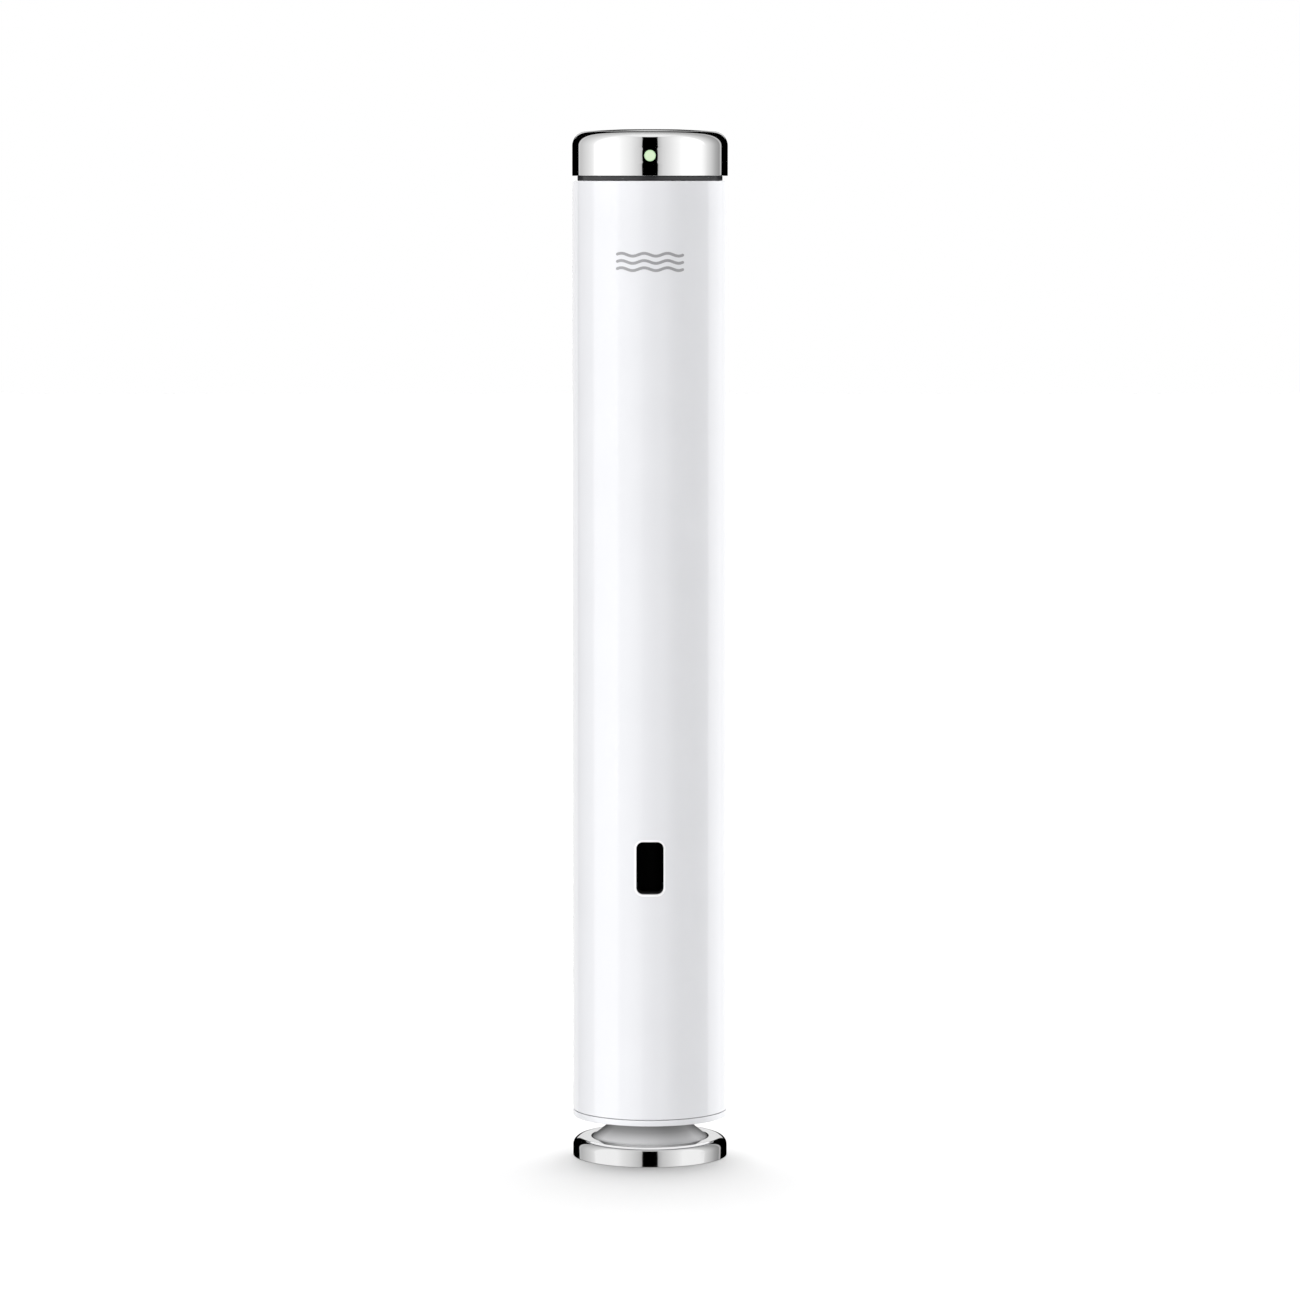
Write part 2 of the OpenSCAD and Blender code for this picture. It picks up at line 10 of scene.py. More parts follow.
import bmesh
import bpy
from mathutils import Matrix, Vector

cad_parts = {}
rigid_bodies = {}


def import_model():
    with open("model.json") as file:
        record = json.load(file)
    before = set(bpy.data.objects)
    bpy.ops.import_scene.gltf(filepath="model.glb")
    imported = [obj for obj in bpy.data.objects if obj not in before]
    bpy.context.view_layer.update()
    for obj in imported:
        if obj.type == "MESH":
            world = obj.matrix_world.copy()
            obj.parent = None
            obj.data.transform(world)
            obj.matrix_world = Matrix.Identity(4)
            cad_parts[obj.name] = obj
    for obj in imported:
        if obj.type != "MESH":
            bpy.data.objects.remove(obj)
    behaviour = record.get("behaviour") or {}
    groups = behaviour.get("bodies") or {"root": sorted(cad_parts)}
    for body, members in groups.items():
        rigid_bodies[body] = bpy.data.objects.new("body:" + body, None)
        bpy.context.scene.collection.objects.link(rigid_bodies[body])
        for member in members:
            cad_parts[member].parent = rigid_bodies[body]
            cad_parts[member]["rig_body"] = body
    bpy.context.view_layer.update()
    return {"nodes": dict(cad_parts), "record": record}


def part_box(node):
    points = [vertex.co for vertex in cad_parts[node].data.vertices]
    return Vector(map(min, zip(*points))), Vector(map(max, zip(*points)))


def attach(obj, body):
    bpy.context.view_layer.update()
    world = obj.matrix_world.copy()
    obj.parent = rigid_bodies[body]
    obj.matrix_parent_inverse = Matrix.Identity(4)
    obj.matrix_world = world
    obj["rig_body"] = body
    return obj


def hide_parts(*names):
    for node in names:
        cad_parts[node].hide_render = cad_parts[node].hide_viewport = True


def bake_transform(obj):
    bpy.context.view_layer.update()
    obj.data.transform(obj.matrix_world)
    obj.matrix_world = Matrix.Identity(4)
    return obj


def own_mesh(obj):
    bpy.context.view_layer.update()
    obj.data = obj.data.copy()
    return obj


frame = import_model()
nodes = frame["nodes"]

MM = 0.001
ROUND = 240  # columns in a full turn of a lathed piece
COLUMN = 2 * math.pi / ROUND  # angle from one column to the next


def box_mm(node):
    """Lowest and highest corner of a CAD node, in millimetres."""
    low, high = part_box(node)
    return low / MM, high / MM


# ---- sizes, from the frame ----

FOOT_LOW, FOOT_HIGH = box_mm("foot_cup")
CONE_HIGH = box_mm("foot_cone")[1]
RING_LOW, RING_HIGH = box_mm("end_ring")
SLEEVE_LOW, SLEEVE_HIGH = box_mm("sleeve")
CAP_LOW = box_mm("cap_shell")[0]
BUTTON_LOW, BUTTON_HIGH = box_mm("button")
GASKET_LOW, GASKET_HIGH = box_mm("cap_gasket")
LENS_LOW, LENS_HIGH = box_mm("led_lens")
GLAND_LOW, GLAND_HIGH = box_mm("cord_gland")
PIN_LOW, PIN_HIGH = box_mm("clip_pin")
SADDLE_LOW, SADDLE_HIGH = box_mm("clip_bracket")
CLIP_PAD_LOW, CLIP_PAD_HIGH = box_mm("clip_pad")

PIVOT_Y = (PIN_LOW.y + PIN_HIGH.y) / 2
PIVOT_Z = (PIN_LOW.z + PIN_HIGH.z) / 2
CLIP_W = SADDLE_HIGH.x - SADDLE_LOW.x

R = SLEEVE_HIGH.x
TOP = 313.0  # apex of the cap's dome; the button's opening cuts the last 0.2 mm away
WALL = 1.8  # thickness of the sleeve
CAP_WALL = 1.0
SHOULDER = 4.3  # radius of the cap's rounded shoulder
CROWN = 240.0  # radius of the cap's dome

# Outlet window: width, height, corner radius and height of its middle. It is 0.2 mm wider and
# 0.3 mm taller than the CAD's
WINDOW_W, WINDOW_H, WINDOW_ROUND, WINDOW_Z = 8.2, 15.9, 2.0, 91.2


# ---- mesh tools ----

def arc(cx, cy, r, a0, a1, n):
    """Points on an arc, angles in degrees."""
    step = math.radians(a1 - a0) / n
    start = math.radians(a0)
    return [(cx + r * math.cos(start + step * i), cy + r * math.sin(start + step * i))
            for i in range(n + 1)]


def finish_mesh(mesh, smooth_angle):
    """Welds, faces outwards, and smooths all edges but those sharper than the angle."""
    bm = bmesh.new()
    bm.from_mesh(mesh)
    bmesh.ops.remove_doubles(bm, verts=bm.verts, dist=1e-7)
    bmesh.ops.recalc_face_normals(bm, faces=bm.faces)
    limit = math.radians(smooth_angle)
    for edge in bm.edges:
        sharp = len(edge.link_faces) == 2 and edge.calc_face_angle(0) > limit
        edge.smooth = not sharp
    for face in bm.faces:
        face.smooth = True
    bm.to_mesh(mesh)
    bm.free()


def new_piece(name, verts, faces, smooth_angle=30):
    """A mesh object from millimetre points."""
    mesh = bpy.data.meshes.new(name)
    mesh.from_pydata([Vector(v) * MM for v in verts], [], faces)
    mesh.validate()
    finish_mesh(mesh, smooth_angle)
    piece = bpy.data.objects.new(name, mesh)
    bpy.context.scene.collection.objects.link(piece)
    return piece


def loft(name, rings, closed=False, smooth_angle=30):
    """Skin over rings of equal counts, capped at both ends or joined into a loop."""
    m = len(rings[0])
    verts = [v for ring in rings for v in ring]
    faces = []
    for q in range(len(rings) if closed else len(rings) - 1):
        r = (q + 1) % len(rings)
        faces += [(q * m + p, q * m + (p + 1) % m, r * m + (p + 1) % m, r * m + p)
                  for p in range(m)]
    if not closed:
        last = (len(rings) - 1) * m
        faces += [tuple(range(m)), tuple(range(last, last + m))]
    return new_piece(name, verts, faces, smooth_angle)


def slab(name, outline, low, high, edge, place, count=96):
    """Plate between two depths, rounded all round; place turns (u, v, depth) into a point."""
    def ring(grow, depth, scale=1.0):
        return [place(u * scale, v * scale, depth) for u, v in outline(count, grow)]

    turns = [math.radians(22.5 * i) for i in range(5)]
    inner = [0.002, 0.2, 0.4, 0.6, 0.8]
    rings = [ring(-edge, low, scale) for scale in inner]
    rings += [ring(edge * (math.sin(t) - 1), low + edge * (1 - math.cos(t))) for t in turns]
    rings += [ring(edge * (math.sin(t) - 1), high - edge * (1 - math.cos(t))) for t in turns[::-1]]
    rings += [ring(-edge, high, scale) for scale in inner[::-1]]
    return loft(name, rings)


def round_ring(r, along, place, count=48):
    """Circle of that radius at a distance along an axis; place turns (a, b, along) into a point."""
    return [place(r * math.cos(2 * math.pi * i / count), r * math.sin(2 * math.pi * i / count), along)
            for i in range(count)]


def hex_ring(r, along, place, count=48):
    """Hexagon with that corner radius, with as many points as a round ring."""
    points = []
    for i in range(count):
        a = 360 * i / count
        reach = r * math.cos(math.radians(30)) / math.cos(math.radians(a % 60 - 30))
        points.append(place(reach * math.cos(math.radians(a)), reach * math.sin(math.radians(a)), along))
    return points


def tube(name, path, radius, sides=14):
    """Round wire along a line of points."""
    points = [Vector(p) for p in path]
    rings = []
    normal = Vector((0.13, 0.2, 0.97))
    for i, point in enumerate(points):
        ahead = (points[min(i + 1, len(points) - 1)] - points[max(i - 1, 0)]).normalized()
        normal = (normal - ahead * normal.dot(ahead)).normalized()
        other = ahead.cross(normal)
        rings.append([point + radius * (normal * math.cos(2 * math.pi * k / sides)
                                        + other * math.sin(2 * math.pi * k / sides))
                      for k in range(sides)])
    return loft(name, rings, smooth_angle=50)


def carve(piece, others, operation="DIFFERENCE"):
    """Cuts the other meshes out of the piece, or adds them, and removes them."""
    for other in others:
        change = piece.modifiers.new("carve", "BOOLEAN")
        change.operation = operation
        change.object = other
        change.solver = "EXACT"
    bpy.context.view_layer.update()
    made = piece.evaluated_get(bpy.context.evaluated_depsgraph_get())
    mesh = bpy.data.meshes.new_from_object(made)
    piece.modifiers.clear()
    piece.data = mesh
    finish_mesh(mesh, 30)
    for other in others:
        bpy.data.objects.remove(other)


def turned(angle, r, z):
    """Point at that angle round the axis, 0 at the front (-Y), counter-clockwise from above."""
    return (r * math.sin(angle), -r * math.cos(angle), z)


def lathe(name, profile, closed=True, columns=ROUND, smooth_angle=30):
    """Solid of revolution about Z. An open profile starts and ends on the axis."""
    verts, faces = [], []
    count = len(profile)
    for j in range(columns):
        angle = 2 * math.pi * j / columns
        verts += [turned(angle, r, z) for r, z in profile]
    for j in range(columns):
        k = (j + 1) % columns
        for i in range(count if closed else count - 1):
            n = (i + 1) % count
            faces.append((j * count + i, k * count + i, k * count + n, j * count + n))
    return new_piece(name, verts, faces, smooth_angle)


def rounded_rect(w, h, r, count):
    """Evenly spaced outline of a rounded rectangle, counter-clockwise from the right middle."""
    straight_w, straight_h, corner = w - 2 * r, h - 2 * r, math.pi * r / 2
    total = 2 * (straight_w + straight_h) + 4 * corner
    stretches = [
        ("line", (w / 2, 0), (0, 1), straight_h / 2),
        ("arc", (w / 2 - r, h / 2 - r), 0, corner),
        ("line", (w / 2 - r, h / 2), (-1, 0), straight_w),
        ("arc", (-w / 2 + r, h / 2 - r), 90, corner),
        ("line", (-w / 2, h / 2 - r), (0, -1), straight_h),
        ("arc", (-w / 2 + r, -h / 2 + r), 180, corner),
        ("line", (-w / 2 + r, -h / 2), (1, 0), straight_w),
        ("arc", (w / 2 - r, -h / 2 + r), 270, corner),
        ("line", (w / 2, -h / 2 + r), (0, 1), straight_h / 2),
    ]
    points = []
    for i in range(count):
        at = total * i / count
        for kind, start, turn, length in stretches:
            if at <= length:
                break
            at -= length
        if kind == "line":
            points.append((start[0] + turn[0] * at, start[1] + turn[1] * at))
        else:
            angle = math.radians(turn) + at / r
            points.append((start[0] + r * math.cos(angle), start[1] + r * math.sin(angle)))
    return points


def with_levels(profile, radius, levels):
    """The profile, with points at those levels on its straight wall at that radius."""
    out = []
    for a, b in zip(profile, profile[1:] + [None]):
        out.append(a)
        if b and abs(a[0] - radius) < 1e-6 and abs(b[0] - radius) < 1e-6:
            low, high = sorted((a[1], b[1]))
            between = [(radius, z) for z in levels if low < z < high]
            out += between if b[1] > a[1] else between[::-1]
    return out


def hole_border(hole):
    """Grid points round a hole as (columns from its middle, height), from its right middle."""
    half, levels = hole["half_cols"], hole["levels"]
    middle = len(levels) // 2
    right = [(half, z) for z in levels]
    top = [(c, levels[-1]) for c in range(half - 1, -half, -1)]
    left = [(-half, z) for z in levels[::-1]]
    bottom = [(c, levels[0]) for c in range(-half + 1, half)]
    return right[middle:] + top + left + bottom + right[:middle]


def hole_rings(hole, r_out, r_in):
    """Rings from the outer grid to a hole, over its rounded lip and on to the inner grid."""
    border = hole_border(hole)
    centre, z_middle, lip = COLUMN * hole["col"], hole["z"], hole["lip"]
    count = len(border)

    def edge_ring(grow, r):
        return [turned(centre + math.asin(du / r), r, z_middle + dz)
                for du, dz in hole["outline"](count, grow)]

    def between_ring(grow, r, share):
        """Part of the way from the hole's outline to the grid, which is at share 1."""
        ring = []
        for (c, z), (du, dz) in zip(border, hole["outline"](count, grow)):
            angle = COLUMN * c * share + math.asin(du / r) * (1 - share)
            ring.append(turned(centre + angle, r, z * share + (z_middle + dz) * (1 - share)))
        return ring

    rings = [between_ring(lip, r_out, share) for share in (1, 0.55, 0.25)]
    for turn in (math.radians(22.5 * i) for i in range(5)):
        rings.append(edge_ring(lip * (1 - math.sin(turn)), r_out - lip * (1 - math.cos(turn))))
    rings.append(edge_ring(0, r_in))
    rings += [between_ring(0, r_in, share) for share in (0.25, 0.55, 1)]
    return rings


def shell_with_holes(name, outer, inner, r_out, r_in, holes):
    """Lathed shell whose straight wall, from r_out to r_in, has holes with rounded lips.

    outer runs up the outside and inner down the inside. Each hole is a dict: angle in degrees
    round from the front, z, half_cols, half_h, rows, lip, and outline(count, grow), which gives
    its outline as (distance round the wall, height) from its centre, grown by that much.
    """
    for hole in holes:
        hole["col"] = round(math.radians(hole["angle"]) / COLUMN)
        hole["levels"] = [hole["z"] + hole["half_h"] * (2 * i / hole["rows"] - 1)
                          for i in range(hole["rows"] + 1)]
    levels = sorted({z for hole in holes for z in hole["levels"]})
    profile = with_levels(outer, r_out, levels) + with_levels(inner, r_in, levels)
    count = len(profile)
    verts = [turned(COLUMN * j, r, z) for j in range(ROUND) for r, z in profile]

    def in_a_hole(i, j):
        a, b = profile[i], profile[(i + 1) % count]
        if abs(a[0] - b[0]) >= 1e-9 or a[0] not in (r_out, r_in):
            return False
        low, high = min(a[1], b[1]), max(a[1], b[1])
        return any(hole["levels"][0] - 1e-9 < low and high < hole["levels"][-1] + 1e-9
                   and (j - hole["col"] + hole["half_cols"]) % ROUND < 2 * hole["half_cols"]
                   for hole in holes)

    faces = []
    for j in range(ROUND):
        k = (j + 1) % ROUND
        for i in range(count):
            n = (i + 1) % count
            if not in_a_hole(i, j):
                faces.append((j * count + i, k * count + i, k * count + n, j * count + n))

    for hole in holes:
        rings = hole_rings(hole, r_out, r_in)
        base, m = len(verts), len(rings[0])
        for ring in rings:
            verts += ring
        for q in range(len(rings) - 1):
            for p in range(m):
                n = (p + 1) % m
                faces.append((base + q * m + p, base + q * m + n,
                              base + (q + 1) * m + n, base + (q + 1) * m + p))
    return new_piece(name, verts, faces)


def round_outline(radius):
    """Outline function of a round hole, for shell_with_holes."""
    def outline(count, grow):
        return [((radius + grow) * math.cos(2 * math.pi * i / count),
                 (radius + grow) * math.sin(2 * math.pi * i / count)) for i in range(count)]
    return outline


def window_outline(count, grow):
    """Outline of the outlet window, for shell_with_holes."""
    return rounded_rect(WINDOW_W + 2 * grow, WINDOW_H + 2 * grow, WINDOW_ROUND + grow, count)


def stands_for(piece, node):
    """piece takes the place of a CAD node: same body, hidden original."""
    body = nodes[node]["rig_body"]
    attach(piece, body)
    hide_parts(node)
    return piece


# ---- materials ----

class Nodes:
    """Short calls for the nodes of one tree."""

    def __init__(self, tree):
        self.tree = tree

    def node(self, kind, **values):
        made = self.tree.nodes.new(kind)
        for key, value in values.items():
            setattr(made, key, value)
        return made

    def link(self, start, end):
        self.tree.links.new(start, end)

    def feed(self, socket, value):
        """Sets a socket to a number, or links an output to it."""
        if isinstance(value, (int, float)):
            socket.default_value = value
        else:
            self.link(value, socket)

    def sum_up(self, operation, *values):
        made = self.node("ShaderNodeMath", operation=operation)
        for socket, value in zip(made.inputs, values):
            self.feed(socket, value)
        return made.outputs[0]

    def mix(self, factor, a, b):
        """a where factor is 0, b where it is 1."""
        change = self.sum_up("SUBTRACT", b, a)
        return self.sum_up("ADD", a, self.sum_up("MULTIPLY", factor, change))

    def smooth_step(self, value, low, high):
        """0 below low, 1 above high, smooth between."""
        made = self.node("ShaderNodeMapRange", interpolation_type="SMOOTHSTEP")
        self.feed(made.inputs["Value"], value)
        made.inputs["From Min"].default_value = low
        made.inputs["From Max"].default_value = high
        return made.outputs["Result"]


class Shader(Nodes):
    """A Principled material with short calls for its procedural nodes."""

    def __init__(self, name):
        self.material = bpy.data.materials.new(name)
        self.material.use_nodes = True
        super().__init__(self.material.node_tree)
        self.surface = self.tree.nodes["Principled BSDF"]
        self.place = self.node("ShaderNodeTexCoord").outputs["Object"]

    def set(self, **sockets):
        for name, value in sockets.items():
            self.surface.inputs[name.replace("_", " ")].default_value = value
        return self

    def stretched(self, scale):
        """Object coordinates times scale, a number for each axis."""
        mapping = self.node("ShaderNodeMapping")
        mapping.inputs["Scale"].default_value = scale
        self.link(self.place, mapping.inputs["Vector"])
        return mapping.outputs["Vector"]

    def noise(self, scale, detail=2.0, stretch=(1, 1, 1)):
        """Noise of that many cells a metre."""
        made = self.node("ShaderNodeTexNoise")
        made.inputs["Scale"].default_value = scale
        made.inputs["Detail"].default_value = detail
        self.link(self.stretched(stretch), made.inputs["Vector"])
        return made.outputs["Fac"]

    def blend(self, factor, low, high):
        """Colour between low and high, by factor."""
        ramp = self.node("ShaderNodeValToRGB")
        ramp.color_ramp.elements[0].position = 0.3
        ramp.color_ramp.elements[1].position = 0.7
        ramp.color_ramp.elements[0].color = (*low, 1)
        ramp.color_ramp.elements[1].color = (*high, 1)
        self.link(factor, ramp.inputs["Fac"])
        return ramp.outputs["Color"]

    def spread(self, factor, low, high):
        """Number between low and high, by factor."""
        made = self.node("ShaderNodeMapRange")
        made.inputs["From Min"].default_value = 0.3
        made.inputs["From Max"].default_value = 0.7
        made.inputs["To Min"].default_value = low
        made.inputs["To Max"].default_value = high
        self.link(factor, made.inputs["Value"])
        return made.outputs["Result"]

    def bump(self, height, strength, distance):
        made = self.node("ShaderNodeBump")
        made.inputs["Strength"].default_value = strength
        made.inputs["Distance"].default_value = distance
        self.link(height, made.inputs["Height"])
        self.link(made.outputs["Normal"], self.surface.inputs["Normal"])


def varied(name, low, high, rough, metal=0.0, grain=600, bump=0.0, stretch=(1, 1, 1), **extra):
    """Material with colour and roughness that vary a little, and an optional fine bump."""
    s = Shader(name)
    s.set(Metallic=metal, **extra)
    wide = s.noise(60, 3)
    fine = s.noise(grain, 3, stretch)
    s.link(s.blend(wide, low, high), s.surface.inputs["Base Color"])
    s.link(s.spread(fine, *rough), s.surface.inputs["Roughness"])
    if bump:
        s.bump(fine, bump, 0.00002)
    return s.material


def make_materials():
    """One material for each slot of the record."""
    return {
        "white_plastic": varied(
            "white_plastic", (0.795, 0.80, 0.825), (0.81, 0.815, 0.84), (0.5, 0.56),
            grain=2500, Coat_Weight=1.0, Coat_Roughness=0.06, Specular_IOR_Level=0.0),
        "polished_steel": varied(
            "polished_steel", (0.93, 0.93, 0.93), (0.95, 0.95, 0.95), (0.03, 0.05), metal=1.0,
            grain=900, stretch=(1, 1, 12)),
        "satin_steel": varied(
            "satin_steel", (0.68, 0.68, 0.69), (0.76, 0.76, 0.77), (0.4, 0.5), metal=0.1,
            grain=1500, bump=0.1, stretch=(1, 1, 5)),
        "machined_steel": varied(
            "machined_steel", (0.5, 0.5, 0.51), (0.6, 0.6, 0.61), (0.24, 0.34), metal=1.0,
            grain=1800, bump=0.1, stretch=(1, 1, 10)),
        "tube_steel": varied(
            "tube_steel", (0.55, 0.55, 0.56), (0.63, 0.63, 0.64), (0.2, 0.32), metal=1.0,
            grain=900, bump=0.08, stretch=(8, 8, 1)),
        "spring_steel": varied(
            "spring_steel", (0.4, 0.4, 0.42), (0.5, 0.5, 0.52), (0.2, 0.3), metal=1.0, grain=3000),
        "magnet": varied(
            "magnet", (0.07, 0.07, 0.075), (0.1, 0.1, 0.1), (0.5, 0.7), metal=0.4, grain=3000,
            bump=0.2),
        "black_rubber": varied(
            "black_rubber", (0.012, 0.012, 0.012), (0.02, 0.02, 0.02), (0.6, 0.75), grain=3500,
            bump=0.2),
        "gloss_gasket": varied(
            "gloss_gasket", (0.02, 0.02, 0.022), (0.03, 0.03, 0.032), (0.18, 0.26), grain=2000,
            bump=0.05),
        "grey_silicone": varied(
            "grey_silicone", (0.16, 0.165, 0.17), (0.2, 0.205, 0.21), (0.5, 0.62), grain=3000,
            bump=0.15),
        "black_plastic": varied(
            "black_plastic", (0.004, 0.004, 0.004), (0.007, 0.007, 0.007), (0.7, 0.8),
            grain=3000, bump=0.2),
        "grey_plastic": varied(
            "grey_plastic", (0.1, 0.1, 0.105), (0.13, 0.13, 0.135), (0.42, 0.55), grain=2500,
            bump=0.15),
        "frame_plastic": varied(
            "frame_plastic", (0.5, 0.5, 0.5), (0.57, 0.57, 0.57), (0.45, 0.55), grain=2500,
            bump=0.12),
        "bronze": varied(
            "bronze", (0.42, 0.26, 0.11), (0.5, 0.32, 0.15), (0.3, 0.45), metal=1.0, grain=4000,
            bump=0.2),
        "heater_glaze": varied(
            "heater_glaze", (0.1, 0.045, 0.02), (0.16, 0.07, 0.03), (0.3, 0.5), grain=1200,
            bump=0.1),
        "copper_winding": varied(
            "copper_winding", (0.5, 0.17, 0.06), (0.62, 0.24, 0.1), (0.25, 0.4), metal=0.9,
            grain=1500, bump=0.5, stretch=(0.4, 0.4, 6)),
        "lead_sheath": varied(
            "lead_sheath", (0.35, 0.02, 0.015), (0.45, 0.03, 0.02), (0.4, 0.5), grain=2500,
            bump=0.1),
        "circuit_board": varied(
            "circuit_board", (0.01, 0.12, 0.05), (0.02, 0.18, 0.08), (0.25, 0.45), grain=900,
            bump=0.2),
        "relay_case": varied(
            "relay_case", (0.02, 0.05, 0.2), (0.03, 0.07, 0.26), (0.3, 0.4), grain=2500, bump=0.1),
        "transformer_tape": varied(
            "transformer_tape", (0.55, 0.34, 0.03), (0.68, 0.45, 0.05), (0.25, 0.4), grain=900,
            bump=0.2, stretch=(0.3, 0.3, 5)),
        "capacitor_sleeve": varied(
            "capacitor_sleeve", (0.01, 0.01, 0.02), (0.02, 0.02, 0.035), (0.25, 0.35), grain=1800,
            bump=0.1),
        "shield_can": varied(
            "shield_can", (0.6, 0.6, 0.6), (0.7, 0.7, 0.7), (0.25, 0.4), metal=1.0, grain=1500,
            bump=0.1),
        "cream_plastic": varied(
            "cream_plastic", (0.6, 0.56, 0.44), (0.68, 0.63, 0.5), (0.4, 0.5), grain=2500,
            bump=0.1),
        "lens_green": lens_material(),
    }


def lens_material():
    """Lit translucent lens: brightest in the middle, greener at its edge."""
    s = Shader("lens_green")
    s.set(Roughness=0.25, Emission_Strength=1.0)
    centre = (LENS_LOW + LENS_HIGH) / 2 * MM
    away = s.node("ShaderNodeVectorMath", operation="SUBTRACT")
    away.inputs[1].default_value = centre
    s.link(s.place, away.inputs[0])
    flat = s.node("ShaderNodeVectorMath", operation="MULTIPLY")
    flat.inputs[1].default_value = (1, 0, 1)
    s.link(away.outputs[0], flat.inputs[0])
    length = s.node("ShaderNodeVectorMath", operation="LENGTH")
    s.link(flat.outputs[0], length.inputs[0])
    ramp = s.node("ShaderNodeValToRGB")
    edge = (LENS_HIGH.x - LENS_LOW.x) / 2 * MM
    reach = s.node("ShaderNodeMath", operation="DIVIDE")
    reach.inputs[1].default_value = edge
    s.link(length.outputs["Value"], reach.inputs[0])
    s.link(reach.outputs[0], ramp.inputs["Fac"])
    ramp.color_ramp.elements[0].color = (0.66, 0.80, 0.56, 1)
    ramp.color_ramp.elements[0].position = 0.75
    ramp.color_ramp.elements[1].color = (0.42, 0.66, 0.36, 1)
    s.link(ramp.outputs["Color"], s.surface.inputs["Emission Color"])
    s.set(Base_Color=(0.05, 0.08, 0.05, 1))
    return s.material


def cone_material():
    """Matt grey of the flow cone with painted shade: darker up under the body, paler towards its foot.

    Layer Weight also darkens its outline, which follows the view: painted shade at the outline. Layer
    Weight also darkens its outline, which follows the view: see Known faults in report.md.
    """
    s = Shader("flow_cone")
    s.set(Metallic=0.0, Specular_IOR_Level=0.3)
    split = s.node("ShaderNodeSeparateXYZ")
    s.link(s.place, split.inputs[0])
    up = s.node("ShaderNodeMapRange")
    up.inputs["From Min"].default_value = 0.0058
    up.inputs["From Max"].default_value = RING_LOW.z * MM
    s.link(split.outputs["Z"], up.inputs["Value"])
    # Painted shade: the colour darkens with height, up into the shade under the body.
    shade = s.node("ShaderNodeValToRGB")
    elements = shade.color_ramp.elements
    elements[0].color = (0.95, 0.95, 0.96, 1)
    elements[1].color = (0.3, 0.3, 0.31, 1)
    for at, grey in ((0.22, 0.72), (0.45, 0.44), (0.68, 0.3)):
        elements.new(at).color = (grey, grey, grey * 1.01, 1)
    s.link(up.outputs["Result"], shade.inputs["Fac"])
    fine = s.noise(1500, 3, (1, 1, 5))
    # Painted shade: Layer Weight darkens the colour towards the cone's outline as seen from the view.
    edge = s.node("ShaderNodeLayerWeight")
    edge.inputs["Blend"].default_value = 0.5
    rim = s.node("ShaderNodeMapRange")
    rim.inputs["From Min"].default_value = 0.55
    rim.inputs["From Max"].default_value = 0.85
    rim.inputs["To Min"].default_value = 1.0
    rim.inputs["To Max"].default_value = 0.3
    s.link(edge.outputs["Facing"], rim.inputs["Value"])
    painted_shade_colour = s.node("ShaderNodeVectorMath", operation="SCALE")
    s.link(shade.outputs["Color"], painted_shade_colour.inputs[0])
    s.link(rim.outputs["Result"], painted_shade_colour.inputs["Scale"])
    s.link(painted_shade_colour.outputs[0], s.surface.inputs["Base Color"])
    s.link(s.spread(fine, 0.4, 0.5), s.surface.inputs["Roughness"])
    s.bump(fine, 0.1, 0.00002)
    return s.material


def paint(obj, material):
    obj.data.materials.clear()
    obj.data.materials.append(material)


# ---- outer pieces ----

def make_sleeve():
    edge = 0.25
    low, high = SLEEVE_LOW.z, SLEEVE_HIGH.z
    inner_r = R - WALL
    outer = [(R - 0.1, low), (R, low + 0.1)] + [(R, high - edge)] + arc(
        R - edge, high - edge, edge, 15, 90, 5)
    inner = [(inner_r, high), (inner_r, low)]
    gland_z = (GLAND_LOW.z + GLAND_HIGH.z) / 2
    holes = [
        dict(angle=0, z=WINDOW_Z, half_cols=12, half_h=10.8, rows=40, lip=0.5,
             outline=window_outline),
        dict(angle=180, z=gland_z, half_cols=14, half_h=7, rows=24, lip=0.1,
             outline=round_outline(4.5)),
    ]
    return shell_with_holes("white_sleeve", outer, inner, R, inner_r, holes)


def cap_outline(depth):
    """Outside of the cap, set inwards by depth: shoulder, then domed top to the button."""
    corner_x = R - SHOULDER
    rise = math.sqrt((CROWN - SHOULDER) ** 2 - corner_x ** 2)
    meet = math.degrees(math.atan2(rise, corner_x))
    hole_r = BUTTON_HIGH.x + 0.3
    end = math.degrees(math.acos(hole_r / (CROWN - depth)))
    return (arc(corner_x, TOP - CROWN + rise, SHOULDER - depth, 0, meet, 24)
            + arc(0, TOP - CROWN, CROWN - depth, meet + 0.3, end, 8))


def make_cap():
    edge = 0.2
    low = CAP_LOW.z
    outside = cap_outline(0)
    rim = outside.pop()
    outer = [(R - edge, low)] + arc(R - edge, low + edge, edge, -70, 0, 5) + outside
    outer += [(rim[0] + 0.12, rim[1]), (rim[0], rim[1] - 0.12)]
    inner = cap_outline(CAP_WALL)[::-1] + [(R - CAP_WALL, low)]
    lens_z = (LENS_LOW.z + LENS_HIGH.z) / 2
    holes = [dict(angle=0, z=lens_z, half_cols=7, half_h=2.6, rows=16, lip=0.03,
                  outline=round_outline((LENS_HIGH.x - LENS_LOW.x) / 2 + 0.02))]
    return shell_with_holes("steel_cap", outer, inner, R, R - CAP_WALL, holes)


def make_foot():
    wall, bend, lip = 1.0, 2.6, 0.15
    top = FOOT_HIGH.z
    centre = (R - bend, top - bend)
    inner_r = R - 5.65
    profile = [(R - wall, FOOT_LOW.z)] + arc(R - lip, FOOT_LOW.z + lip, lip, -90, 0, 6)
    profile += arc(*centre, bend, 0, 90, 30) + [(inner_r + 0.15, top), (inner_r, top - 0.15)]
    profile += [(inner_r, top - wall)] + arc(*centre, bend - wall, 90, 0, 10)
    return lathe("steel_foot", profile)


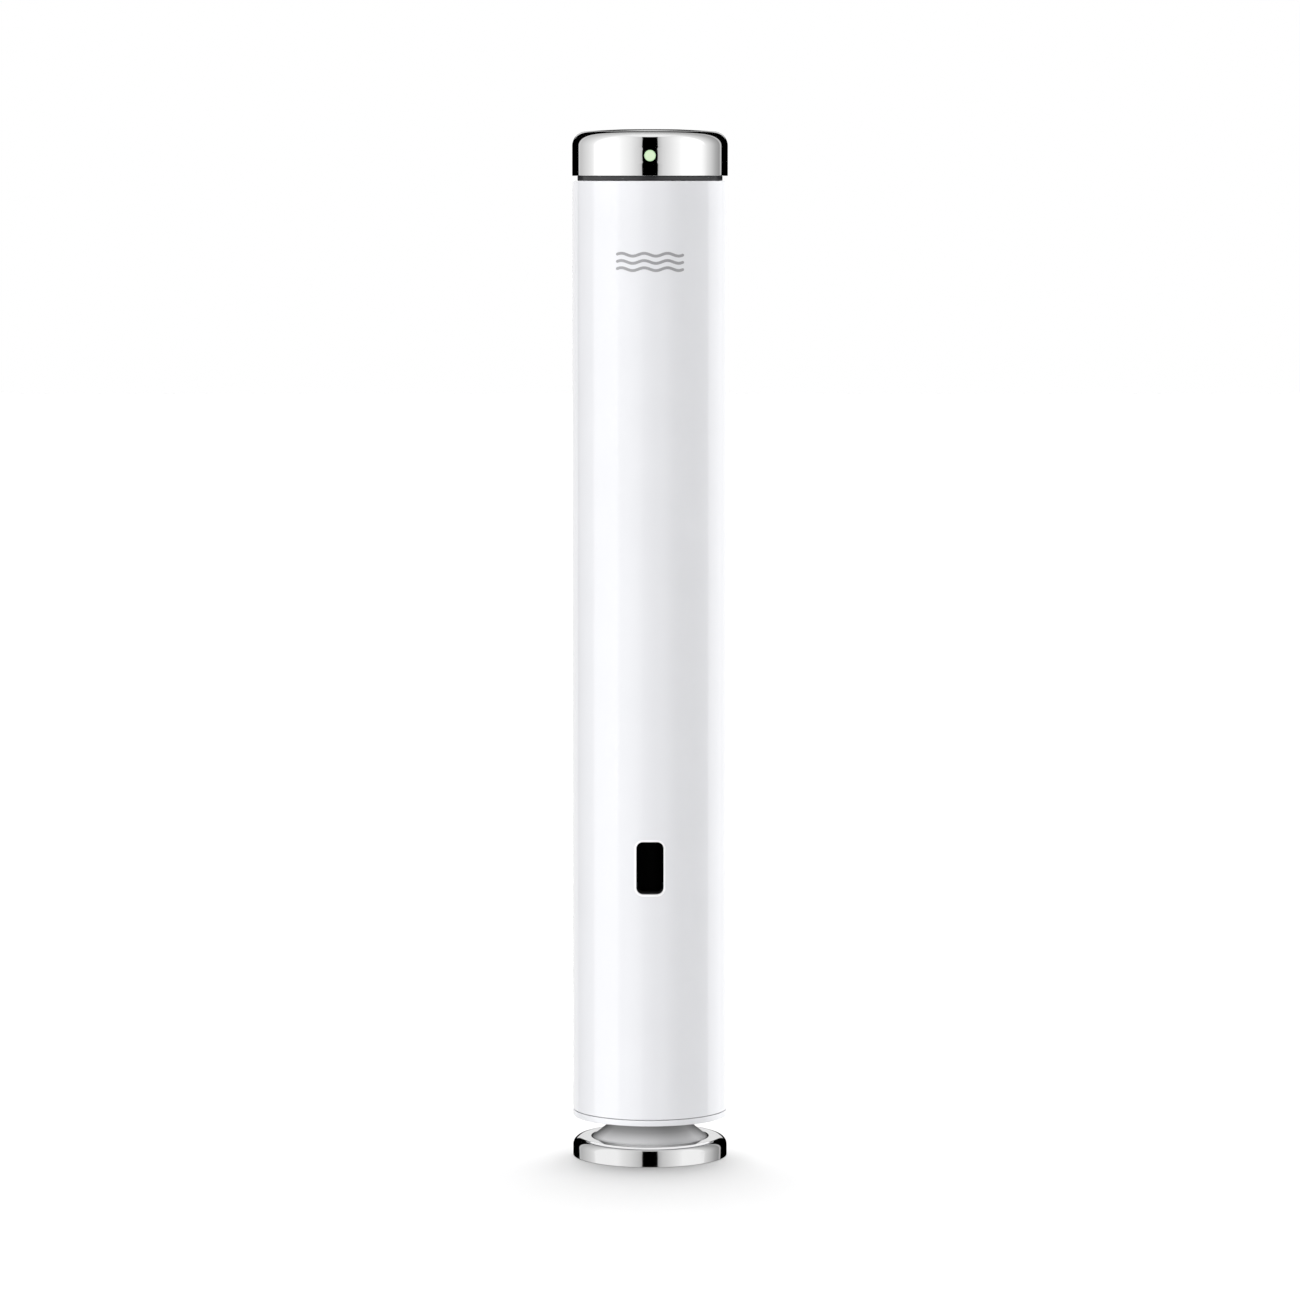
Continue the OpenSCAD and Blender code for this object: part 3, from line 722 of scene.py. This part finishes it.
def make_cone():
    top, seat = FOOT_HIGH.z, R - 5.7
    top_r, top_z = 7.5, CONE_HIGH.z
    ring_z = RING_LOW.z
    gap = 0.3  # shadow gap round the cone's foot
    profile = [(0, 3.4), (18.8, 3.4), (18.8, top - 1.05), (seat - gap, top - 1.05)]
    profile += [(9.0 + (seat - gap - 9.0) * (1 - t / 12), top - 0.1 + (ring_z - top) * t / 12)
                for t in range(13)]
    profile += [(top_r, top_z), (0, top_z)]
    return lathe("flow_cone", profile, closed=False)


def make_end_ring():
    low, high, top = RING_LOW.z, 14.4, RING_HIGH.z
    bore = R - WALL - 0.9
    spigot = R - WALL - 0.1
    profile = arc(bore + 0.3, low + 0.3, 0.3, 180, 270, 5) + arc(R - 0.3, low + 0.3, 0.3, -90, 0, 6)
    profile += [(R, high - 0.06), (R - 0.06, high), (spigot, high), (spigot, top), (bore, top)]
    return lathe("lower_end_ring", profile)


def make_gasket():
    low, high = GASKET_LOW.z, GASKET_HIGH.z
    out, bore = GASKET_HIGH.x, 18.6
    profile = [(bore, low)] + arc(out - 0.2, low + 0.2, 0.2, -90, 0, 4)
    profile += arc(out - 0.2, high - 0.2, 0.2, 0, 90, 4) + [(bore, high)]
    return lathe("cap_seal_ring", profile)


def make_lens():
    """Low dome that follows the cap's front, with a short barrel behind it."""
    radius = (LENS_HIGH.x - LENS_LOW.x) / 2
    z = (LENS_LOW.z + LENS_HIGH.z) / 2
    front, back = R, -LENS_HIGH.y
    profile = [(0.0, front)] + arc(0, front - 12.0, 12.0, 89, 82.2, 6)
    profile += [(radius, front - 0.16), (radius, back), (0.0, back)]
    verts, faces = [], []
    columns, count = 64, len(profile)
    for j in range(columns):
        a = 2 * math.pi * j / columns
        for r, y in profile:
            r = min(r, radius)
            verts.append((r * math.cos(a), -y, z + r * math.sin(a)))
    for j in range(columns):
        k = (j + 1) % columns
        for i in range(count - 1):
            faces.append((j * count + i, k * count + i, k * count + i + 1, j * count + i + 1))
    return new_piece("indicator_lens", verts, faces)


def make_bezel():
    """Pale rim round the outlet window."""
    section = [(0.6, -0.1), (0.6, 0.02), (0.54, 0.05), (0.1, 0.05), (0.03, 0.02), (0.0, -0.06),
               (0.0, -0.6), (0.3, -0.6)]
    rings = []
    for grow, out in section:
        r = R + out
        rings.append([turned(math.asin(u / r), r, WINDOW_Z + v)
                      for u, v in window_outline(160, grow)])
    return loft("outlet_bezel", rings, closed=True)


def make_button():
    edge, recess = 0.3, 0.15
    r, low, under = BUTTON_HIGH.x, BUTTON_LOW.z, TOP - 2.6
    top = CROWN - recess
    rim = math.degrees(math.acos((r - edge) / top))
    rim_z = TOP - CROWN + top * math.sin(math.radians(rim))
    profile = [(0, low)] + arc(2.3, low + 0.2, 0.2, -90, 0, 4) + [(2.5, under), (r - 0.15, under)]
    profile += [(r, under + 0.15)] + arc(r - edge, rim_z - edge, edge, 0, 88, 8)
    profile += arc(0, TOP - CROWN, top, rim + 0.05, 90, 12)
    return lathe("steel_button", profile, closed=False)


def make_button_spring():
    low, high = box_mm("button_spring")
    wire = 0.3
    z0, z1, r = low.z + wire, high.z - wire, high.x - wire
    steps, turns = 180, 3
    path = []
    for i in range(steps + 1):
        a = 2 * math.pi * turns * i / steps
        path.append((r * math.cos(a), r * math.sin(a), z0 + (z1 - z0) * i / steps))
    return tube("button_coil", path, wire)


# ---- the back of the sleeve ----

def on_y(z):
    """Place function for a piece whose axis is Y, at that height."""
    return lambda a, b, y: (a, y, z + b)


def on_x(y, z):
    """Place function for a piece whose axis is X."""
    return lambda a, b, x: (x, y + a, z + b)


def make_gland():
    z = (GLAND_LOW.z + GLAND_HIGH.z) / 2
    top, flange, bore, neck = GLAND_HIGH.y, 6.0, 3.2, 4.4
    seat = R + 0.05

    def on_sleeve(r):
        return [(x, math.sqrt(seat ** 2 - x * x), pz) for x, _, pz in round_ring(r, 0, on_y(z))]

    rings = [on_sleeve(neck), on_sleeve(flange - 0.1), on_sleeve(flange)]
    rings += [round_ring(flange - 0.5 + r, y, on_y(z)) for r, y in arc(0, top - 0.5, 0.5, 0, 90, 6)]
    rings += [round_ring(bore + 0.5 + r, y, on_y(z)) for r, y in arc(0, top - 0.5, 0.5, 90, 180, 6)]
    rings += [round_ring(bore, GLAND_LOW.y, on_y(z)), round_ring(neck, GLAND_LOW.y, on_y(z)),
              round_ring(neck, seat - 0.6, on_y(z))]
    return loft("cord_bush", rings, closed=True)


def make_bracket():
    """Saddle that follows the sleeve, and two ears that hold the pin."""
    low, high = SADDLE_LOW.z, SADDLE_HIGH.z
    seat, back = R + 0.05, R + 2.1
    ear_w, ear_r = 2.6, 4.6
    middle = (low + high) / 2

    def on_sleeve(u, v, r):
        return (u, math.sqrt(r * r - u * u), middle + v)

    saddle = slab("clip_saddle", lambda n, grow: rounded_rect(
        CLIP_W + 2 * grow, high - low + 2 * grow, 2.0 + grow, n), seat, back, 0.45, on_sleeve)

    foot = R + 0.4
    half = (PIVOT_Y - foot) / 2

    def ear_outline(count, grow):
        """A tongue: straight sides from the saddle, and a round end about the pin."""
        r = ear_r + grow
        round_part = [(half + r * math.cos(a), r * math.sin(a))
                      for a in (math.pi * (i / (count - 4) - 0.5) for i in range(count - 3))]
        return round_part + [(0, r), (-half, r), (-half, -r)]

    ears = []
    for side in (-1, 1):
        x = side * (CLIP_W / 2 - ear_w / 2)
        ears.append(slab("ear", ear_outline, x - ear_w / 2, x + ear_w / 2, 0.4,
                         lambda u, v, d: (d, PIVOT_Y - half + u, PIVOT_Z + v)))
    carve(saddle, ears, "UNION")
    return saddle


def lever_line():
    """The lever's middle line in Y and Z, from the thumb tab past the pin to the jaw."""
    y, z = PIVOT_Y, PIVOT_Z
    jaw_y, jaw_top, jaw_low = CLIP_PAD_HIGH.y + 1.3, z - 44, z - 57
    hub, bow, jaw = (y + 0.6, z), (y + 5, z - 26), (jaw_y, jaw_top)
    bend = [tuple((1 - t) ** 2 * a + 2 * t * (1 - t) * b + t * t * c
                  for a, b, c in zip(hub, bow, jaw)) for t in (i / 10 for i in range(11))]
    line = [(y + 5, z + 24), (y + 1.4, z + 5)] + bend + [(jaw_y, jaw_low), (jaw_y + 2, jaw_low - 4.5)]
    for _ in range(2):  # round the corners off a little
        soft = [line[0]]
        for a, b in zip(line, line[1:]):
            gap = math.dist(a, b)
            cut = min(0.25, 1.0 / gap)
            soft += [(a[0] + (b[0] - a[0]) * c, a[1] + (b[1] - a[1]) * c) for c in (cut, 1 - cut)]
        line = soft + [line[-1]]
    return [Vector(p) for p in line]


def evenly(line, gap):
    """Points at even distances along a line, both ends included."""
    lengths = [0.0]
    for a, b in zip(line, line[1:]):
        lengths.append(lengths[-1] + (b - a).length)
    count = round(lengths[-1] / gap)
    points, k = [], 0
    for i in range(count + 1):
        at = lengths[-1] * i / count
        while k < len(line) - 2 and lengths[k + 1] < at:
            k += 1
        share = (at - lengths[k]) / max(lengths[k + 1] - lengths[k], 1e-9)
        points.append(line[k].lerp(line[k + 1], min(share, 1.0)))
    return points


def make_lever():
    """Sprung lever: a swept strip with a hub, and a window for the spring."""
    thick, corner, neck, wide = 2.6, 0.7, 5.0, 7.0
    points = evenly(lever_line(), 0.5)
    total = 0.5 * (len(points) - 1)
    rings = []
    for i, point in enumerate(points):
        ahead = (points[min(i + 1, len(points) - 1)] - points[max(i - 1, 0)]).normalized()
        out = Vector((-ahead.y, ahead.x))
        at = min(0.5 * i, total - 0.5 * i)
        half = neck
        for edge_z, side in ((PIVOT_Z + 9, 1), (PIVOT_Z - 30, -1)):
            share = min(max((point.y - edge_z) * side / 3.0 + 0.5, 0.0), 1.0)
            half += (wide - neck) * share * share * (3 - 2 * share)
        end = 3.5  # the ends are rounded as seen from behind
        if at < end:
            half -= end - math.sqrt(end ** 2 - (end - at) ** 2)
        pinch = 1.0 - 0.55 * max(0.0, 1 - at / 1.0) ** 2  # and thin out at the very tip
        section = rounded_rect(2 * max(half, 3.2), thick * pinch, corner * pinch, 48)
        rings.append([(u, point.x + out.x * v, point.y + out.y * v) for u, v in section])
    lever = loft("clip_lever_arm", rings)
    gap, clear = 3.4, 4.3
    hub = [round_ring(3.9 - 0.3 + r, x, on_x(PIVOT_Y, PIVOT_Z)) for r, x in
           arc(0, -neck + 0.3, 0.3, -90, 0, 3) + arc(0, neck - 0.3, 0.3, 0, 90, 3)]
    carve(lever, [loft("hub", hub)], "UNION")
    room = [round_ring(clear, x, on_x(PIVOT_Y, PIVOT_Z)) for x in (-gap, gap)]
    bore = [round_ring(1.56, x, on_x(PIVOT_Y, PIVOT_Z)) for x in (-9, 9)]
    window = slab("window", lambda n, grow: rounded_rect(9 + 2 * grow, 12 + 2 * grow, 0.8 + grow, n),
                  -gap, gap, 0.3, lambda u, v, d: (d, PIVOT_Y + 0.5 + u, PIVOT_Z + 6 + v))
    carve(lever, [loft("room", room), loft("bore", bore), window])
    return lever


def make_clip_pad():
    low, high = CLIP_PAD_LOW, CLIP_PAD_HIGH
    middle = (low + high) / 2
    size = high - low
    return slab("clip_jaw_pad", lambda n, grow: rounded_rect(
        size.x + 2 * grow, size.z + 2 * grow, 1.2 + grow, n), low.y, high.y, 0.6,
        lambda u, v, d: (u, d, middle.z + v))


def make_clip_screws():
    """Two socket-head screws, as one piece."""
    low, high = box_mm("clip_screws")
    verts, faces = [], []
    for z in (PIVOT_Z - 11, PIVOT_Z + 15):
        place = on_y(z)
        top = high.y
        rings = [round_ring(1.3, low.y, place), round_ring(1.5, low.y + 0.2, place),
                 round_ring(1.5, R + 2.12, place), round_ring(2.65, R + 2.12, place)]
        rings += [round_ring(2.8 - 0.35 + r, y, place) for r, y in arc(0, top - 0.35, 0.35, 0, 90, 6)]
        rings += [hex_ring(1.45, top, place), hex_ring(1.3, top - 0.12, place),
                  hex_ring(1.3, top - 1.0, place), hex_ring(0.05, top - 1.1, place)]
        base, m = len(verts), len(rings[0])
        verts += [v for ring in rings for v in ring]
        faces += [(base + q * m + p, base + q * m + (p + 1) % m, base + (q + 1) * m + (p + 1) % m,
                   base + (q + 1) * m + p) for q in range(len(rings) - 1) for p in range(m)]
        last = base + (len(rings) - 1) * m
        faces += [tuple(range(base, base + m)), tuple(range(last, last + m))]
    return new_piece("clip_socket_screws", verts, faces)


def make_clip_pin():
    place = on_x(PIVOT_Y, PIVOT_Z)
    shaft, head, edge = 1.5, 2.2, 0.3
    end, step = PIN_HIGH.x, PIN_HIGH.x - 0.8
    side = [round_ring(shaft, step, place), round_ring(head - 0.05, step, place),
            round_ring(head, step + 0.05, place)]
    side += [round_ring(head - edge + r, x, place) for r, x in arc(0, end - edge, edge, 0, 90, 6)]
    mirror = [[(-x, y, z) for x, y, z in ring] for ring in side[::-1]]
    return loft("clip_hinge_pin", mirror + side)


def make_clip_spring():
    """Torsion spring, one leg towards the bracket and one through the lever's window.

    Neither leg touches what it should bear on, and with the clip fully open the end of the
    second one enters the upper screw's head.
    """
    coil, half, start, sweep, steps = 2.6, 2.6, 194.6, 1253.6, 200
    path = []
    for i in range(steps + 1):
        a = math.radians(start + sweep * i / steps)
        path.append((-half + 2 * half * i / steps, PIVOT_Y + coil * math.cos(a),
                     PIVOT_Z + coil * math.sin(a)))
    first, last = (-half, PIVOT_Y - 5.2, PIVOT_Z + 10), (half, PIVOT_Y + 0.5, PIVOT_Z + 15)
    lead = [tuple(a + (b - a) * t / 8 for a, b in zip(first, path[0])) for t in range(8)]
    tail = [tuple(a + (b - a) * t / 8 for a, b in zip(path[-1], last)) for t in range(1, 9)]
    return tube("clip_torsion_spring", lead + path + tail, 0.4)


def make_mark():
    """Plain decoration low under the cap: three wavy lines, printed a hair proud of the sleeve."""
    width, thick, proud, middle = 21.0, 0.85, 0.04, 273.3
    verts, faces = [], []
    for row in (-1, 0, 1):
        steps = 120
        base = len(verts)
        for i in range(steps + 1):
            u = width * (i / steps - 0.5)
            phase = 2 * math.pi * 3 * i / steps
            v = middle + 2.15 * row + 0.42 * math.sin(phase)
            slope = math.atan2(0.42 * 2 * math.pi * 3 / width * math.cos(phase), 1)
            end = min(i, steps - i) * width / steps
            half = thick / 2 * math.sqrt(max(1 - max(0.0, 1 - end / (thick / 2)) ** 2, 0.02))
            for side, r in ((1, R - 0.05), (1, R + proud), (-1, R + proud), (-1, R - 0.05)):
                angle = (u - side * half * math.sin(slope)) / R
                verts.append(turned(angle, r, v + side * half * math.cos(slope)))
        for i in range(steps):
            for k in range(4):
                n = (k + 1) % 4
                faces.append((base + i * 4 + k, base + i * 4 + n,
                              base + (i + 1) * 4 + n, base + (i + 1) * 4 + k))
        last = base + steps * 4
        faces += [(base, base + 1, base + 2, base + 3), (last, last + 1, last + 2, last + 3)]
    return new_piece("wave_mark", verts, faces)


# ---- stage, camera and light ----

def make_camera():
    """Far away at the cap's height, pitched down towards the middle of the object."""
    camera = bpy.data.objects.new("camera", bpy.data.cameras.new("camera"))
    bpy.context.scene.collection.objects.link(camera)
    camera.location = (0, -1.666, 0.2978)
    camera.rotation_euler = (math.radians(90 - 4.893), 0, 0)
    camera.data.sensor_width = 36
    camera.data.lens = 152.2
    camera.data.clip_end = 50
    bpy.context.scene.camera = camera


def make_floor():
    size = 6.0
    floor = new_piece("floor", [(x / MM, y / MM, 0) for x, y in
                                ((-size, -size), (size, -size), (size, size), (-size, size))],
                      [(0, 1, 2, 3)])
    s = Shader("floor")
    s.set(Base_Color=(0.8, 0.8, 0.8, 1), Roughness=0.9, Specular_IOR_Level=0.0)
    floor.data.materials.append(s.material)
    floor.visible_glossy = False
    floor.visible_diffuse = False
    floor.visible_shadow = False


# The studio as polished pieces see it. In front, by bearing from the camera, + to its right:
# two soft boxes with a dark slot between them
FRONT = [
    (-90, 1.12), (-50, 1.12), (-42, 1.0), (-29, 0.86), (-17, 0.68), (-11.8, 0.55), (-11.2, 0.0),
    (11.2, 0.0), (11.8, 0.5), (18.7, 0.7), (31, 0.85), (43, 1.0), (50, 1.12), (78, 1.12),
    (86, 1.0), (90, 0.9),
]
# Behind, by angle from the camera's direction: left and right sides, then dark
BEHIND = [
    (90, 1.12, 0.9), (92, 1.0, 0.86), (94, 0.92, 0.8), (104, 0.78, 0.62), (114, 0.68, 0.43),
    (126, 0.56, 0.29), (127.5, 0.64, 0.54), (131.5, 0.64, 0.54), (132.5, 0.0, 0.0),
    (180, 0.0, 0.0),
]
BACKDROP = 0.88  # brightness of a small pale backdrop in the middle of the dark
BACKDROP_EDGE = (163, 165)  # it lies beyond this angle from the camera's direction
BACKDROP_FOOT = (0.12, 0.14)  # and above this sine of the elevation
PEAK = 1.2  # greatest brightness in these lists
SLOT_TOP = 71  # elevation where the dark slot ends
OVERHEAD = 0.9  # brightness above it
SKY = 5.8  # greatest brightness overhead, as matt pieces see it
SKY_LEAN = 0.45  # how far its middle leans to the back
SKY_FALL = 6  # how quickly it falls away from there
AMBIENT = 0.03


def studio_ramp(n, value, low, high, stops):
    """Left and right brightness from a list of stops, for a value between low and high."""
    made = n.node("ShaderNodeValToRGB")
    elements = made.color_ramp.elements
    while len(elements) > 1:
        elements.remove(elements[0])
    for i, (at, *sides) in enumerate(stops):
        place = (at - low) / (high - low)
        stop = elements[0] if i == 0 else elements.new(place)
        stop.position = place
        stop.color = (sides[0] / PEAK, sides[-1] / PEAK, 0, 1)
    n.feed(made.inputs["Fac"], n.sum_up("DIVIDE", n.sum_up("SUBTRACT", value, low), high - low))
    split = n.node("ShaderNodeSeparateColor")
    n.link(made.outputs["Color"], split.inputs[0])
    return [n.sum_up("MULTIPLY", split.outputs[i], PEAK) for i in (0, 1)]


def studio_in_front(n, x, z, squares):
    """Soft boxes either side of a dark slot, with a plain brightness overhead."""
    depth = n.sum_up("SQRT", n.sum_up("ADD", squares[1], n.sum_up("MULTIPLY", squares[2], 0.4)))
    bearing = n.sum_up("DEGREES", n.sum_up("ARCTANGENT", n.sum_up("DIVIDE", x, depth)))
    front = studio_ramp(n, bearing, -90, 90, FRONT)[0]
    above = n.smooth_step(z, math.sin(math.radians(SLOT_TOP - 1.5)),
                          math.sin(math.radians(SLOT_TOP + 1.5)))
    return n.mix(above, front, OVERHEAD)


def studio_behind(n, x, y, z, squares):
    """Sides that fall away to dark, with the backdrop in the middle of it."""
    away = n.sum_up("DEGREES", n.sum_up("ARCCOSINE", n.sum_up("MULTIPLY", y, -1.0)))
    flat = n.sum_up("SQRT", n.sum_up("ADD", squares[0], squares[2]))
    side = n.sum_up("DIVIDE", x, n.sum_up("MAXIMUM", flat, 0.001))
    left, right = studio_ramp(n, away, 90, 180, BEHIND)
    rightness = n.sum_up("MULTIPLY", n.sum_up("ADD", side, 1.0), 0.5)
    limit = n.mix(n.sum_up("ABSOLUTE", side), OVERHEAD, PEAK)
    sides = n.mix(rightness, n.sum_up("MINIMUM", left, limit), right)
    backdrop = n.sum_up("MULTIPLY", n.smooth_step(away, *BACKDROP_EDGE),
                        n.smooth_step(z, *BACKDROP_FOOT))
    return n.sum_up("ADD", sides, n.sum_up("MULTIPLY", backdrop, BACKDROP))


def sky_light(n, direction):
    """Light on matt surfaces: brightest overhead, a little to the back."""
    lean = n.node("ShaderNodeVectorMath", operation="DOT_PRODUCT")
    n.link(direction, lean.inputs[0])
    lean.inputs[1].default_value = Vector((0, SKY_LEAN, 1)).normalized()
    height = n.sum_up("MAXIMUM", lean.outputs["Value"], 0.0)
    peak = n.sum_up("MULTIPLY", n.sum_up("POWER", height, SKY_FALL), SKY)
    return n.sum_up("ADD", peak, AMBIENT)


def make_world():
    """White to the camera, lit from above for matt surfaces, and the studio in reflections."""
    world = bpy.data.worlds.new("studio")
    bpy.context.scene.world = world
    world.use_nodes = True
    world.node_tree.nodes.clear()
    n = Nodes(world.node_tree)

    def glow(strength):
        made = n.node("ShaderNodeBackground")
        n.feed(made.inputs["Strength"], strength)
        made.inputs["Color"].default_value = (1, 1, 1, 1)
        return made.outputs[0]

    def choose(switch, off, on):
        made = n.node("ShaderNodeMixShader")
        for socket, value in zip(made.inputs, (switch, off, on)):
            n.link(value, socket)
        return made.outputs[0]

    direction = n.node("ShaderNodeTexCoord").outputs["Generated"]
    split = n.node("ShaderNodeSeparateXYZ")
    n.link(direction, split.inputs[0])
    x, y, z = split.outputs
    squares = [n.sum_up("MULTIPLY", v, v) for v in (x, y, z)]
    studio = n.mix(n.sum_up("GREATER_THAN", y, 0.0), studio_in_front(n, x, z, squares),
                   studio_behind(n, x, y, z, squares))
    ray = n.node("ShaderNodeLightPath")
    lit = choose(ray.outputs["Is Glossy Ray"], glow(sky_light(n, direction)), glow(studio))
    seen = choose(ray.outputs["Is Camera Ray"], lit, glow(1.0))
    out = n.node("ShaderNodeOutputWorld")
    n.link(seen, out.inputs["Surface"])


def towards(bearing, elevation=0.0):
    """Direction with that bearing, 0 towards the camera and + to its right, in degrees."""
    a, e = math.radians(bearing), math.radians(elevation)
    return Vector((math.sin(a) * math.cos(e), -math.cos(a) * math.cos(e), math.sin(e)))


def make_light(name, kind, bearing, energy, distance=3.0):
    light = bpy.data.lights.new(name, kind)
    light.energy = energy
    lamp = bpy.data.objects.new(name, light)
    bpy.context.scene.collection.objects.link(lamp)
    lamp.location = towards(bearing) * distance + Vector((0, 0, 0.15))
    lamp.rotation_euler = towards(bearing).to_track_quat("Z", "Y").to_euler()
    return lamp


def make_sun(name, bearing, strength, spread):
    """Level light that shapes matt surfaces and isn't seen in polished ones."""
    sun = make_light(name, "SUN", bearing, strength)
    sun.data.angle = math.radians(spread)
    sun.visible_glossy = False


def make_card(name, bearing, width, radiance, receivers):
    """Tall bright card, seen only in the gloss of the receivers, that many degrees wide."""
    distance = 3.0
    across = 2 * distance * math.tan(math.radians(width / 2))
    tall = 5.0
    card = make_light(name, "AREA", bearing, radiance * across * tall * 4, distance)
    card.data.shape = "RECTANGLE"
    card.data.size = across
    card.data.size_y = tall
    card.visible_diffuse = False
    card.light_linking.receiver_collection = receivers


def make_gap_glow(radiance, receivers):
    """Lamp under the body that only the receivers mirror. It stands for no real part."""
    radius = R - WALL - 0.9
    lamp = make_light("gap_glow", "AREA", 0, radiance * math.pi * (radius * MM) ** 2 * 4)
    lamp.location = (0, 0, (RING_LOW.z - 0.05) * MM)
    lamp.rotation_euler = (0, 0, 0)
    lamp.data.shape = "DISK"
    lamp.data.size = 2 * radius * MM
    lamp.visible_diffuse = False
    lamp.light_linking.receiver_collection = receivers


make_camera()
make_floor()
make_world()
make_sun("key", -50, 2.7, 15)
make_sun("front", 0, 0.35, 60)
make_sun("fill", 35, 1.2, 40)
make_sun("rim", 110, 2.5, 15)

materials = make_materials()
for entry in frame["record"]["subparts"]:
    paint(nodes[entry["node"]], materials[entry["material_slot"]])

# Painted shade: a darker copy of the cap's polished steel for the foot, dimming its reflections.
shaded_foot_steel = varied("shaded_foot_steel", (0.74, 0.74, 0.74), (0.78, 0.78, 0.78), (0.04, 0.07), metal=1.0,
                    grain=900, stretch=(1, 1, 12))

pieces = {}
for make, node, slot in (
    (make_sleeve, "sleeve", "white_plastic"),
    (make_cap, "cap_shell", "polished_steel"),
    (make_foot, "foot_cup", "polished_steel"),
    (make_cone, "foot_cone", "satin_steel"),
    (make_end_ring, "end_ring", "white_plastic"),
    (make_gasket, "cap_gasket", "gloss_gasket"),
    (make_lens, "led_lens", "lens_green"),
    (make_button, "button", "polished_steel"),
    (make_button_spring, "button_spring", "spring_steel"),
    (make_gland, "cord_gland", "white_plastic"),
    (make_bracket, "clip_bracket", "white_plastic"),
    (make_lever, "clip_lever", "white_plastic"),
    (make_clip_pad, "clip_pad", "grey_silicone"),
    (make_clip_screws, "clip_screws", "machined_steel"),
    (make_clip_pin, "clip_pin", "machined_steel"),
):
    pieces[node] = stands_for(make(), node)
    paint(pieces[node], materials[slot])

paint(pieces["foot_cup"], shaded_foot_steel)
# The flow cone's matt grey, with painted shade, takes the place of its satin steel.
paint(pieces["foot_cone"], cone_material())

for piece, slot, finish in (
    (make_mark(), "grey_plastic",
     varied("mark_ink", (0.32, 0.32, 0.33), (0.4, 0.4, 0.41), (0.5, 0.6), grain=2500)),
    (make_bezel(), "white_plastic",
     varied("bezel_white", (0.94, 0.94, 0.95), (0.97, 0.97, 0.98), (0.5, 0.56), grain=2500)),
):
    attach(piece, "housing")
    paint(piece, finish)

clip_spring = make_clip_spring()
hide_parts("clip_spring")
paint(clip_spring, materials["spring_steel"])
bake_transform(clip_spring)
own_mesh(pieces["button_spring"])

steel_foot = bpy.data.collections.new("steel_foot")
steel_foot.objects.link(pieces["foot_cup"])
make_gap_glow(0.85, steel_foot)
glossy_white = bpy.data.collections.new("glossy_white")
for node in ("sleeve", "end_ring"):
    glossy_white.objects.link(pieces[node])
make_card("front_card", -70, 44, 0.9, glossy_white)
make_card("left_card", -157, 44, 0.8, glossy_white)
make_card("right_card", 138, 82, 0.9, glossy_white)

bpy.context.scene.view_settings.view_transform = "Standard"
